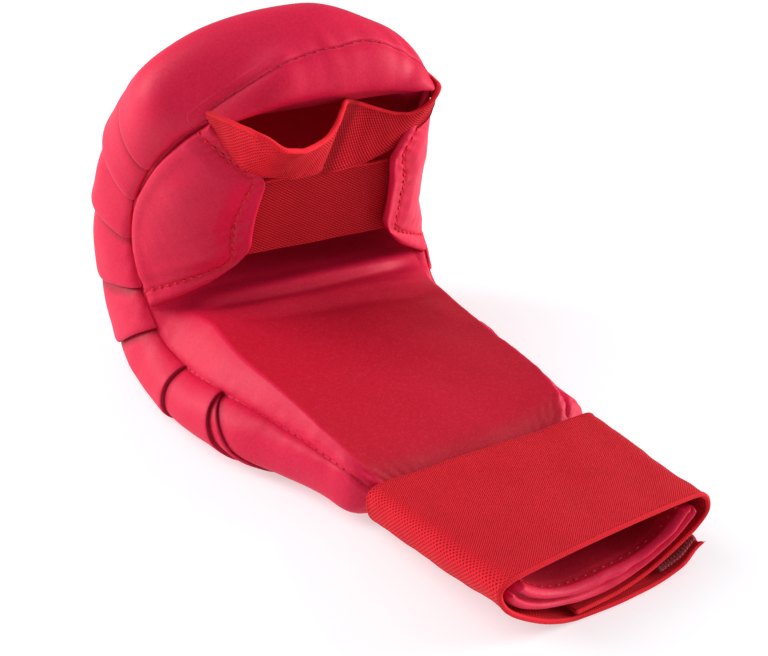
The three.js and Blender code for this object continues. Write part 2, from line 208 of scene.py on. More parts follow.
def polyline(points: np.ndarray, pitch: float) -> np.ndarray:
    """Points at even steps of about pitch along a line of points.

    Args:
        points: Points of the line, (n, k); the first three columns are its place.
        pitch: Wanted step, in mm.

    Returns:
        Points (count, k).
    """
    run = lengths_along(points[:, :3], 0)
    count = max(2, int(round(run[-1] / pitch)) + 1)
    at = np.linspace(0, run[-1], count)
    return np.stack([np.interp(at, run, points[:, k]) for k in range(points.shape[1])], -1)


def distance_to_line(points: np.ndarray, line: np.ndarray) -> np.ndarray:
    """Least distance from each point to the points of a line, in mm."""
    flat = points.reshape(-1, 3)
    best = np.full(len(flat), np.inf)
    for chunk in np.array_split(line, max(1, len(line) // 40)):
        gaps = np.linalg.norm(flat[:, None] - chunk[None], axis=-1)
        best = np.minimum(best, gaps.min(1))
    return best.reshape(points.shape[:-1])


# ---------------------------------------------------------------- meshes


@dataclass
class Surface:
    """Points in mm with the faces over them, and what the finish reads from each point."""

    points: np.ndarray
    faces: np.ndarray
    values: dict[str, np.ndarray] = field(default_factory=dict)
    cloth: np.ndarray | None = None

    def joined(self, other: "Surface") -> "Surface":
        """This surface and another, both without cloth coordinates, as one."""
        return Surface(
            np.concatenate([self.points, other.points]),
            np.concatenate([self.faces, other.faces + len(self.points)]),
            {k: np.concatenate([v, other.values[k]]) for k, v in self.values.items()},
        )


def grid_faces(rows: int, columns: int, wrap: bool = False) -> np.ndarray:
    """Quads over a grid of points stored row by row.

    Args:
        rows: Number of rows.
        columns: Number of columns.
        wrap: Whether the last column joins the first.

    Returns:
        Corner indices, (quads, 4).
    """
    last = columns if wrap else columns - 1
    i, j = np.meshgrid(np.arange(rows - 1), np.arange(last), indexing="ij")
    here, right = i * columns + j, i * columns + (j + 1) % columns
    return np.stack([here, right, right + columns, here + columns], -1).reshape(-1, 4)


def make_object(name: str, surface: Surface) -> bpy.types.Object:
    """A Blender object of a surface, in metres in the part's frame, with its faces outwards.

    Points that coincide are made one, so a quad may become a triangle or vanish.

    Args:
        name: The object's name.
        surface: Closed surface in mm in the mitt's layout.

    Returns:
        The object, linked to the scene.
    """
    keys = np.round(surface.points / WELD).astype(np.int64)
    _, first, inverse = np.unique(keys, axis=0, return_index=True, return_inverse=True)
    corners = inverse.ravel()[surface.faces]
    kept = corners != np.roll(corners, 1, axis=1)
    whole = kept.sum(1) >= 3
    corners, kept, faces = corners[whole], kept[whole], surface.faces[whole]
    points = surface.points[first]
    a, b, c, d = (points[corners[:, k]] for k in range(4))
    volume = (a * np.cross(b, c)).sum() + (a * np.cross(c, d)).sum()
    if volume < 0:
        corners, faces = corners[:, ::-1], faces[:, ::-1]
        kept = corners != np.roll(corners, 1, axis=1)
    counts = kept.sum(1)
    loops = corners[kept].astype(np.int32)
    starts = np.concatenate([[0], np.cumsum(counts)[:-1]]).astype(np.int32)

    mesh = bpy.data.meshes.new(name)
    mesh.vertices.add(len(points))
    mesh.vertices.foreach_set("co", ((points + LAYOUT_TO_PART) * MM).astype(np.float32).ravel())
    mesh.loops.add(len(loops))
    mesh.loops.foreach_set("vertex_index", loops)
    mesh.polygons.add(len(counts))
    mesh.polygons.foreach_set("loop_start", starts)
    if surface.cloth is not None:
        layer = mesh.uv_layers.new(name="cloth")
        layer.data.foreach_set("uv", surface.cloth[faces[kept]].astype(np.float32).ravel())
    mesh.update(calc_edges=True)
    for key, value in surface.values.items():
        attribute = mesh.attributes.new(key, "FLOAT", "POINT")
        attribute.data.foreach_set("value", value[first].astype(np.float32))
    mesh.validate()
    mesh.shade_smooth()
    thing = bpy.data.objects.new(name, mesh)
    bpy.context.scene.collection.objects.link(thing)
    return thing


def slab(middle: np.ndarray, over: np.ndarray, under: np.ndarray, values: dict[str, np.ndarray],
         cloth: np.ndarray | None = None) -> Surface:
    """Closed sheet about a grid: a face over and a face under it, which meet along the border.

    Args:
        middle: Grid (n, m, 3) of the sheet's middle surface.
        over: Height of the one face, (n, m), taken as nothing on the border.
        under: Depth of the other, the same.
        values: Values of the grid's points.
        cloth: Cloth coordinates (n, m, 2).

    Returns:
        The closed surface.
    """
    rows, columns = middle.shape[:2]
    inside = np.zeros((rows, columns, 1))
    inside[1:-1, 1:-1] = 1.0
    normal = normals_of(middle)
    points = np.concatenate([
        (middle + normal * over[..., None] * inside).reshape(-1, 3),
        (middle - normal * under[..., None] * inside).reshape(-1, 3),
    ])
    top = grid_faces(rows, columns)
    faces = np.concatenate([top, top[:, ::-1] + rows * columns])
    doubled = {k: np.concatenate([v.ravel(), v.ravel()]) for k, v in values.items()}
    flat = None if cloth is None else np.concatenate([cloth.reshape(-1, 2)] * 2)
    return Surface(points, faces, doubled, flat)


def rim(distance: np.ndarray, radius: float) -> np.ndarray:
    """Quarter-round rise from an edge: sqrt(1 - (1 - d / radius)^2), 1 past the radius."""
    share = np.clip(distance / radius, 0.0, 1.0)
    return np.sqrt(np.clip(1.0 - (1.0 - share) ** 2, 0.0, 1.0))


# ---------------------------------------------------------------- finishes


class Num:
    """A number in a shader, with Python's operators as Math nodes."""

    def __init__(self, desk: "Desk", socket: bpy.types.NodeSocket) -> None:
        """Wraps a node's output socket."""
        self.desk = desk
        self.socket = socket

    def _with(self, operation: str, *others: "Num | float") -> "Num":
        """A Math node of this number and the others."""
        return self.desk.math(operation, self, *others)

    def __add__(self, other: "Num | float") -> "Num":
        """self + other"""
        return self._with("ADD", other)

    def __radd__(self, other: float) -> "Num":
        """other + self"""
        return self._with("ADD", other)

    def __sub__(self, other: "Num | float") -> "Num":
        """self - other"""
        return self._with("SUBTRACT", other)

    def __rsub__(self, other: float) -> "Num":
        """other - self"""
        return self.desk.math("SUBTRACT", other, self)

    def __mul__(self, other: "Num | float") -> "Num":
        """self * other"""
        return self._with("MULTIPLY", other)

    def __rmul__(self, other: float) -> "Num":
        """other * self"""
        return self._with("MULTIPLY", other)

    def __truediv__(self, other: "Num | float") -> "Num":
        """self / other"""
        return self._with("DIVIDE", other)

    def __pow__(self, other: float) -> "Num":
        """self ** other"""
        return self._with("POWER", other)

    def step(self, low: float, high: float) -> "Num":
        """Smoothstep from low to high."""
        node = self.desk.node("ShaderNodeMapRange", {"interpolation_type": "SMOOTHSTEP"},
                              {"Value": self, "From Min": low, "From Max": high})
        return Num(self.desk, node.outputs["Result"])

    def wave(self) -> "Num":
        """(1 + cos(2 pi self)) / 2: 1 at whole numbers, 0 between them."""
        return (self * (2 * np.pi))._with("COSINE") * 0.5 + 0.5


class Desk:
    """A material's node tree, with one method that makes nodes."""

    def __init__(self, name: str) -> None:
        """Starts an empty material.

        Args:
            name: The material's name.
        """
        self.material = bpy.data.materials.new(name)
        self.material.use_nodes = True
        self.tree = self.material.node_tree
        self.tree.nodes.clear()

    def node(self, kind: str, settings: dict | None = None,
             inputs: dict | None = None) -> bpy.types.Node:
        """Makes a node.

        Args:
            kind: The node's type.
            settings: Its properties, set first.
            inputs: Values or links of its sockets, by name or index.

        Returns:
            The node.
        """
        made = self.tree.nodes.new(kind)
        for key, value in (settings or {}).items():
            setattr(made, key, value)
        for key, value in (inputs or {}).items():
            socket = made.inputs[key]
            if isinstance(value, Num):
                value = value.socket
            if isinstance(value, bpy.types.NodeSocket):
                self.tree.links.new(value, socket)
            else:
                socket.default_value = value
        return made

    def math(self, operation: str, *values: "Num | float") -> Num:
        """A Math node of one or two values."""
        made = self.node("ShaderNodeMath", {"operation": operation}, dict(enumerate(values)))
        return Num(self, made.outputs[0])

    def attribute(self, name: str) -> Num:
        """A value stored on the mesh's points."""
        made = self.node("ShaderNodeAttribute", {"attribute_name": name})
        return Num(self, made.outputs["Fac"])

    def object_place(self) -> bpy.types.NodeSocket:
        """The point's place on the object, in metres."""
        return self.node("ShaderNodeTexCoord").outputs["Object"]

    def cloth_place(self) -> tuple[Num, Num]:
        """The cloth's own two coordinates, in mm."""
        uv = self.node("ShaderNodeUVMap", {"uv_map": "cloth"}).outputs["UV"]
        split = self.node("ShaderNodeSeparateXYZ", None, {0: uv})
        u, v = (Num(self, split.outputs[axis]) * CLOTH_UNIT for axis in "XY")
        return u, v

    def noise(self, place: bpy.types.NodeSocket, size_mm: float, detail: float = 3.0) -> Num:
        """Noise through space with swells of about size_mm, around 0.5."""
        made = self.node("ShaderNodeTexNoise", None, {
            "Vector": place, "Scale": 1.0 / (size_mm * MM), "Detail": detail, "Roughness": 0.55})
        return Num(self, made.outputs["Fac"])

    def cells(self, place: bpy.types.NodeSocket, size_mm: float) -> Num:
        """Distance from the middle of cells of about size_mm."""
        made = self.node("ShaderNodeTexVoronoi", None,
                         {"Vector": place, "Scale": 1.0 / (size_mm * MM)})
        return Num(self, made.outputs["Distance"])

    def blend(self, low: Colour | bpy.types.NodeSocket, high: Colour,
              share: Num) -> bpy.types.NodeSocket:
        """Colour that is share of the way from low to high."""
        first = (*low, 1.0) if isinstance(low, tuple) else low
        made = self.node("ShaderNodeMix", {"data_type": "RGBA", "clamp_factor": True},
                         {0: share, 6: first, 7: (*high, 1.0)})
        return made.outputs[2]

    def finish(self, colour: bpy.types.NodeSocket, roughness: Num, height: Num, depth_mm: float,
               strength: float, fixed: dict[str, object]) -> bpy.types.Material:
        """Joins everything to one Principled BSDF.

        Args:
            colour: Base colour.
            roughness: Roughness.
            height: Relief from 0 to 1.
            depth_mm: How deep that relief is.
            strength: Strength of the bump.
            fixed: Numbers and colours that are the same all over, by socket.

        Returns:
            The finished material.
        """
        bump = self.node("ShaderNodeBump", None,
                         {"Height": height, "Distance": depth_mm * MM, "Strength": strength})
        shader = self.node("ShaderNodeBsdfPrincipled", None, {
            "Base Color": colour, "Roughness": roughness, "Normal": bump.outputs[0], **fixed})
        out = self.node("ShaderNodeOutputMaterial")
        self.tree.links.new(shader.outputs[0], out.inputs[0])
        return self.material


@dataclass(frozen=True)
class Leatherette:
    """Satin coated cloth: fine pebble grain, paler on raised ridges, with painted shade in creases
    and hollows and on the palm's lining.
    """

    name: str = "red_leatherette"
    body: Colour = (0.66, 0.008, 0.052)
    # painted shade: the lining is the same leatherette, coloured darker over the palm for the shade
    # it lies in
    lining: Colour = (0.46, 0.004, 0.020)
    # deep: colour of the painted shade in creases and hollows, and of the darker flecks of the
    # grain and clouds
    deep: Colour = (0.32, 0.004, 0.020)
    # pale_tone: paler colour on raised ridges, in scuffs and in the grain
    pale_tone: Colour = (0.74, 0.040, 0.11)
    pebble_mm: float = 0.62
    fine_mm: float = 0.35
    grain_mm: float = 0.95
    scuff_mm: float = 2.2
    cloud_mm: float = 16.0
    roughness: float = 0.52
    relief_mm: float = 0.06

    def material(self) -> bpy.types.Material:
        """The finish, which reads the values lining and relief of the mesh, and paints shade with
        both: darker on the palm's lining and where the relief is low.
        """
        d = Desk(self.name)
        place = d.object_place()
        relief = d.attribute("relief")
        lining = d.attribute("lining")
        pebbles = d.cells(place, self.pebble_mm).step(0.08, 0.62)
        fine = d.noise(place, self.fine_mm, 2.0)
        cloudy = d.noise(place, self.cloud_mm, 3.0)
        scuffs = d.noise(place, self.scuff_mm, 4.0)
        grain = d.noise(place, self.grain_mm, 2.0)
        # painted shade: the lining mask turns the palm's lining to the darker lining colour
        colour = d.blend(self.body, self.lining, lining)
        for over, share in (
            # paler where the relief stands high, patchy with the clouds
            (self.pale_tone, relief.step(0.35, 2.0) * 0.28 * cloudy.step(0.3, 0.75)),
            # painted shade: low relief, in creases, grooves, folds and hollows, takes the deep
            # colour
            (self.deep, (0.0 - relief).step(0.15, 1.2) * 0.72),
            (self.deep, cloudy.step(0.45, 0.8) * 0.08),
            (self.pale_tone, scuffs.step(0.50, 0.80) * 0.10),
            (self.pale_tone, grain.step(0.50, 0.72) * 0.16),
            (self.deep, (1.0 - grain).step(0.50, 0.72) * 0.20),
        ):
            colour = d.blend(colour, over, share)
        rough = self.roughness + (fine - 0.5) * 0.10 + (cloudy - 0.5) * 0.12 + lining * 0.06
        height = (1.0 - pebbles) * 0.75 + fine * 0.45
        return d.finish(colour, rough, height, self.relief_mm, 0.5, {"Specular IOR Level": 0.19})


@dataclass(frozen=True)
class Ribs:
    """How the ribs of one weave run."""

    name: str
    lean: float      # how far a rib leans, in mm along for each mm across
    rib: float       # mm from rib to rib
    yarn: float      # mm from yarn to yarn
    rounding: float  # power that makes the ribs wide and the grooves narrow
    broken: float    # how far the yarns break up the ribs


class Weave(Enum):
    """How an elastic is woven."""

    BAND = Ribs("band", 1.15, 0.92, 0.80, 0.62, 0.30)
    TWILL = Ribs("twill", 1.40, 1.60, 1.05, 0.80, 0.55)
    STRAP = Ribs("strap", 0.85, 1.00, 0.95, 0.60, 0.50)


@dataclass(frozen=True)
class Elastic:
    """Woven elastic: diagonal ribs of fine yarn, with painted shade dark between the ribs and in
    the net's holes, and corded selvedges.
    """

    weave: Weave
    width_mm: float
    bright: Colour = (0.72, 0.010, 0.024)
    # groove: colour of the painted shade between the ribs, in the net's holes and in the finger
    # strap's folds, and also of the dark line by each edge and the darker clouds
    groove: Colour = (0.22, 0.002, 0.007)
    edge: Colour = (0.74, 0.013, 0.022)
    net_mm: float = 1.5
    cord_mm: float = 0.75
    line_at_mm: float = 1.15
    fuzz_mm: float = 0.30
    cloud_mm: float = 11.0
    relief_mm: float = 0.24

    def height(self, d: Desk, u: Num, v: Num, selvedge: Num) -> Num:
        """The weave's relief: ribs, a net of holes where it is stretched, and corded edges.

        Args:
            d: The material's desk.
            u: Distance along the cloth, in mm.
            v: Distance across it, in mm.
            selvedge: 1 in the corded edge and 0 off it.

        Returns:
            Relief from 0 to 1.
        """
        ribs = self.weave.value
        stretch = d.attribute("stretch")
        wobble = (d.noise(d.object_place(), 3.0, 2.0) - 0.5) * 0.30
        rib = ((u + v * ribs.lean) / ribs.rib + wobble).wave()
        yarn = ((u * 0.18 - v) / ribs.yarn + wobble).wave()
        plain = rib ** ribs.rounding * (yarn * ribs.broken + (1.0 - ribs.broken))
        holes = ((u + v) / self.net_mm + wobble).wave() * ((u - v) / self.net_mm + wobble).wave()
        netted = 1.0 - holes.step(0.22, 0.62)
        woven_part = plain * (1.0 - stretch) + netted * stretch
        cord = (u / self.cord_mm).wave() * 0.45 + 0.55
        return woven_part * (1.0 - selvedge) + cord * selvedge

    def material(self) -> bpy.types.Material:
        """The finish, which reads the cloth coordinates, stretch and relief of the mesh; low relief
        is painted shade.
        """
        d = Desk("elastic_" + self.weave.value.name)
        place = d.object_place()
        u, v = d.cloth_place()
        relief = d.attribute("relief")
        near = d.math("MINIMUM", v, self.width_mm - v)
        selvedge = 1.0 - near.step(0.5, 0.95)
        line = 1.0 - d.math("ABSOLUTE", near - self.line_at_mm).step(0.10, 0.40)
        height = self.height(d, u, v, selvedge)
        fuzz = d.noise(place, self.fuzz_mm, 3.0)
        cloudy = d.noise(place, self.cloud_mm, 2.0)
        # painted shade: the colour falls to groove where the weave is low, between the ribs and in
        # the holes
        colour = d.blend(self.groove, self.bright, height.step(0.15, 0.78))
        for over, share in (
            (self.edge, selvedge * 0.30),
            (self.groove, line * 0.35),
            (self.edge, fuzz.step(0.5, 0.8) * 0.22),
            (self.groove, cloudy.step(0.45, 0.85) * 0.12),
            # painted shade: darker where the piece's relief is below nothing, at the finger strap's
            # fold and start
            (self.groove, (0.0 - relief).step(0.1, 1.2) * 0.7),
        ):
            colour = d.blend(colour, over, share)
        rough = 0.78 + (fuzz - 0.5) * 0.12
        return d.finish(colour, rough, height + fuzz * 0.22, self.relief_mm, 0.7, {
            "Specular IOR Level": 0.14, "Sheen Weight": 0.06, "Sheen Roughness": 0.5,
            "Sheen Tint": (1.0, 0.22, 0.18, 1.0),
        })


@dataclass(frozen=True)
class Thread:
    """Twisted sewing thread."""

    name: str
    colour: Colour
    shade: Colour
    twist_mm: float = 0.5
    relief_mm: float = 0.10

    def material(self) -> bpy.types.Material:
        """The finish: uneven light and shade of the twist."""
        d = Desk(self.name)
        twist = d.noise(d.object_place(), self.twist_mm, 2.0)
        colour = d.blend(self.shade, self.colour, twist.step(0.30, 0.62))
        return d.finish(colour, 0.62 + twist * 0.12, twist, self.relief_mm, 0.6,
                        {"Specular IOR Level": 0.2})


@dataclass(frozen=True)
class HookTape:
    """Hook tape: rows of tiny stiff hooks on a dark ground."""

    name: str = "hook_tape"
    ground: Colour = (0.16, 0.004, 0.008)
    hook: Colour = (0.42, 0.012, 0.022)
    pitch_mm: tuple[float, float] = (1.3, 1.6)
    fuzz_mm: float = 0.4
    relief_mm: float = 0.5

    def material(self) -> bpy.types.Material:
        """The finish, which reads the cloth coordinates of the mesh."""
        d = Desk(self.name)
        u, v = d.cloth_place()
        hooks = ((u / self.pitch_mm[0]).wave() * (v / self.pitch_mm[1]).wave()).step(0.25, 0.8)
        fuzz = d.noise(d.object_place(), self.fuzz_mm, 3.0)
        colour = d.blend(self.ground, self.hook, hooks * 0.8 + fuzz * 0.2)
        return d.finish(colour, 0.62 + fuzz * 0.2, hooks + fuzz * 0.4, self.relief_mm, 0.9,
                        {"Specular IOR Level": 0.4})


@dataclass(frozen=True)
class PaleFloor:
    """Plain pale studio floor with a faint gloss and a little light of its own."""

    name: str = "pale_floor"
    dull: Colour = (0.58, 0.59, 0.60)
    clear: Colour = (0.61, 0.615, 0.62)
    cloud_mm: float = 90.0
    relief_mm: float = 0.02

    def material(self) -> bpy.types.Material:
        """The finish: near white with the least unevenness."""
        d = Desk(self.name)
        cloudy = d.noise(d.object_place(), self.cloud_mm, 2.0)
        colour = d.blend(self.dull, self.clear, cloudy)
        return d.finish(colour, 0.34 + cloudy * 0.06, cloudy, self.relief_mm, 0.05, {
            "Specular IOR Level": 0.3, "Emission Color": (0.96, 0.98, 1.0, 1.0),
            "Emission Strength": 0.48})


# ---------------------------------------------------------------- stitches


@dataclass
class Stitching:
    """A row of stitches along a line on a surface; all sizes are in mm."""

    pitch: float
    length: float
    radius: float
    lift: float
    dip: float
    sides: int = 6
    rings_at: tuple[float, ...] = (-1.0, -0.86, -0.45, 0.0, 0.45, 0.86, 1.0)
    turn: float = 0.07
    lengths: tuple[float, float] = (0.86, 1.08)

    def surface(self, line: np.ndarray, normal: np.ndarray, seed: int) -> Surface:
        """Each stitch is a short thread, fat in the middle, whose ends dive into the cloth.

        Its radius is r sqrt(1 - t^4) and its height lift - dip t^2, t from -1 to 1 along it.

        Args:
            line: Points of the line, (n, 3), in mm.
            normal: The surface's outward direction there, (n, 3).
            seed: Seed of the small differences between stitches.

        Returns:
            All stitches as one surface.
        """
        draw = np.random.default_rng(seed)
        at = polyline(np.concatenate([line, normal], -1), self.pitch)
        centre, up = at[:, :3], at[:, 3:]
        run = np.gradient(centre, axis=0)
        run /= np.linalg.norm(run, axis=1)[:, None]
        up = up - run * (up * run).sum(1)[:, None]
        up /= np.linalg.norm(up, axis=1)[:, None]
        run = run + np.cross(run, up) * draw.normal(0, self.turn, len(centre))[:, None]
        side = np.cross(run, up)
        t = np.array(self.rings_at)[:, None]
        angle = np.linspace(0, 2 * np.pi, self.sides + 1)[:-1]
        fat = self.radius * np.sqrt(np.clip(1 - t**4, 0, 1))
        across = fat * np.cos(angle)
        high = fat * np.sin(angle) + (self.lift - self.dip * t**2)
        half = draw.uniform(*self.lengths, len(centre))[:, None, None, None] * self.length / 2
        points = (
            centre[:, None, None]
            + run[:, None, None] * t[..., None] * half
            + side[:, None, None] * across[..., None]
            + up[:, None, None] * high[..., None]
        )
        one = grid_faces(len(t), self.sides, wrap=True)
        shifts = (np.arange(len(centre)) * len(t) * self.sides)[:, None, None]
        return Surface(points.reshape(-1, 3), (one[None] + shifts).reshape(-1, 4))


# ---------------------------------------------------------------- padding

# Sections of the padding, wrist to finger tips. Columns: y and z of the side seam; turn, the way
# that the outer skin faces in degrees from straight down to the knuckles and up; depth of the
# skin, of the lining's middle and of the shoulder off the seam's level; half widths of the seam
# and of the widest line, left and right; depth of the widest line; power of the skin's curve.
SECTIONS = np.array([
    [3.0, 22.6, 0, 17.7, 10.0, 0.4, 37.4, 37.8, 35.8, 36.2, 1.6, 1.6],
    [26, 18.5, 0, 12.4, 5.4, 0.6, 35.6, 36.2, 35.0, 35.6, 3.0, 1.7],
    [47, 15.7, 0, 9.2, 1.8, 0.8, 36.8, 37.4, 36.0, 36.6, 2.2, 2.0],
    [60, 14.4, 0, 7.6, -0.6, 1.6, 38.0, 38.6, 37.2, 37.8, 1.8, 2.2],
    [67, 15.0, 0, 8.8, -1.2, 2.2, 38.8, 39.4, 38.4, 39.0, 2.2, 2.4],
    [74, 20.5, 0, 20.6, -0.8, 2.8, 43.8, 45.8, 41.5, 50.6, 10.0, 3.0],
    [85, 21.2, 0, 21.8, -2.2, 5.4, 45.8, 50.0, 43.5, 51.0, 10.4, 3.0],
    [100, 21.4, 0, 22.2, -3.0, 7.4, 48.6, 55.8, 46.4, 52.2, 10.6, 3.0],
    [118, 21.6, 0, 22.6, -4.4, 9.4, 53.0, 63.5, 48.0, 54.0, 11.6, 3.0],
    [140, 21.0, 0, 22.0, -6.5, 11.0, 57.5, 69.4, 49.6, 53.6, 12.0, 3.0],
    [162, 19.5, 2, 20.5, -10.5, 13.5, 59.0, 70.6, 51.4, 54.8, 12.0, 3.0],
    [177, 21.5, 20, 23.4, -12.5, 11.0, 59.5, 70.0, 53.4, 56.2, 14.0, 2.8],
    [188, 31.0, 47, 42.0, -9.0, 3.0, 60.0, 68.4, 56.4, 60.6, 20.0, 2.5],
    [196, 43.0, 74, 47.0, 8.0, 2.0, 59.5, 66.8, 57.0, 61.8, 20.0, 2.3],
    [199.5, 57.0, 98, 45.5, 20.0, 1.5, 59.0, 64.8, 56.5, 61.2, 18.0, 2.2],
    [194, 74.0, 122, 43.0, 22.0, 1.2, 58.5, 63.2, 54.0, 57.4, 16.0, 2.2],
    [181, 92.0, 145, 44.6, 16.0, 1.0, 55.5, 62.8, 48.5, 49.8, 14.0, 2.2],
    [169, 106.0, 166, 39.0, 8.0, 0.8, 49.0, 59.5, 42.8, 44.6, 10.0, 2.1],
    [161.7, 112.8, 182, 20.0, 0.5, 0.3, 43.5, 44.2, 40.4, 41.0, 2.5, 2.0],
], float)
TIPS = len(SECTIONS) - 1   # place of the finger tips, counted in sections

# Tucks gathered into the side seams. Columns: place at the seam and on the widest line, counted in
# sections; puff of the skin up to the next tuck; height of the fold; how far it laps over; how deep
# the skin lies before it.
TUCKS = np.array([
    [6.60, 6.40, 0.0, 0.0, 0.0, 0.0],
    [8.78, 7.45, 0.1, 1.1, 1.0, 0.6],
    [8.80, 8.05, 0.4, 1.7, 1.4, 0.9],
    [9.92, 9.55, 0.6, 1.6, 1.2, 0.9],
    [11.50, 12.05, 0.7, 1.7, 1.2, 1.0],
    [12.67, 13.07, 0.7, 1.0, 1.4, 1.8],
    [14.05, 14.28, 0.7, 2.6, 1.4, 1.4],
    [15.10, 15.34, 0.5, 2.6, 1.4, 1.8],
    [15.93, 16.10, 0.3, 1.0, 1.2, 1.6],
    [17.60, 17.80, 0.0, 0.0, 0.0, 0.0],
], float)
ROWS_BY_TUCK = np.array([0.004, 0.02, 0.045, 0.08, 0.12])   # sections from a tuck to its own rows

# Folds pressed into the lining where the palm bends. Columns: place in sections, width, depth, how
# much further on the fold lies at the right, how much further at both sides, how much deeper it is
# at the right; the last three count for FOLD_REACH.
PALM_FOLDS = np.array([
    [10.05, 0.20, 1.1, -0.20, 0.00, 0.20],
    [10.62, 0.24, -0.6, -0.08, 0.20, 0.00],
    [11.22, 0.27, 2.0, 0.05, 0.36, 0.00],
    [12.15, 0.22, 1.2, 0.00, 0.10, 0.00],
    [13.00, 0.25, 1.2, 0.10, 0.00, 0.00],
], float)
FOLD_REACH = 50.0   # mm from the middle

# Bumps of the skin at the finger tips. Columns: x, width, reach back from the tips and height.
TIP_BUMPS = ((-18.0, 10.0, 9.0, 3.2), (22.0, 9.0, 8.0, 1.1))

BROAD_SWELL = (34.0, 5)   # size in mm and seed of the skin's broad swells
SKIN_SWELL: Layers = ((*BROAD_SWELL, 0.42), (13.0, 6, 0.12))
LINING_SWELL: Layers = ((26.0, 8, 0.22), (9.0, 9, 0.07))


@dataclass
class Rings:
    """The padding's plain rings, one at each place along its seams.

    Attributes:
        places: Each row's place at the seam, counted in sections.
        points: The points in mm, (rows, columns, 3).
        up: Each column's share up the skin; 1 from the seam on.
        inward: Each column's share from the ridge to the lining's middle.
        left: 1 for a column on the left and 0 on the right.
        fold: Depth of the lining's folds, (rows, columns).
        seams: The columns of the right and of the left side seam.
    """

    places: np.ndarray
    points: np.ndarray
    up: np.ndarray
    inward: np.ndarray
    left: np.ndarray
    fold: np.ndarray
    seams: tuple[int, int]

    def __post_init__(self) -> None:
        """Measures the rings along, around and from the nearer seam, and finds their normals."""
        self.skin = (self.up < 1).astype(float)
        self.inner = smooth(0.0, 0.25, self.inward)
        self.run = lengths_along(self.points, 0)
        self.to_tips = self.run[-1:] - self.run
        self.around = lengths_along(self.points, 1)
        closing = np.linalg.norm(self.points[:, :1] - self.points[:, -1:], axis=-1)
        total = self.around[:, -1:] + closing
        self.off_seam = np.full(self.run.shape, np.inf)
        for column in self.seams:
            gap = np.abs(self.around - self.around[:, column:column + 1])
            self.off_seam = np.minimum(self.off_seam, np.minimum(gap, total - gap))
        normal = normals_of(self.points, wrap=True)
        underside_faces_up = normal[len(self.places) // 3, 0, 2] > 0
        self.normal = -normal if underside_faces_up else normal


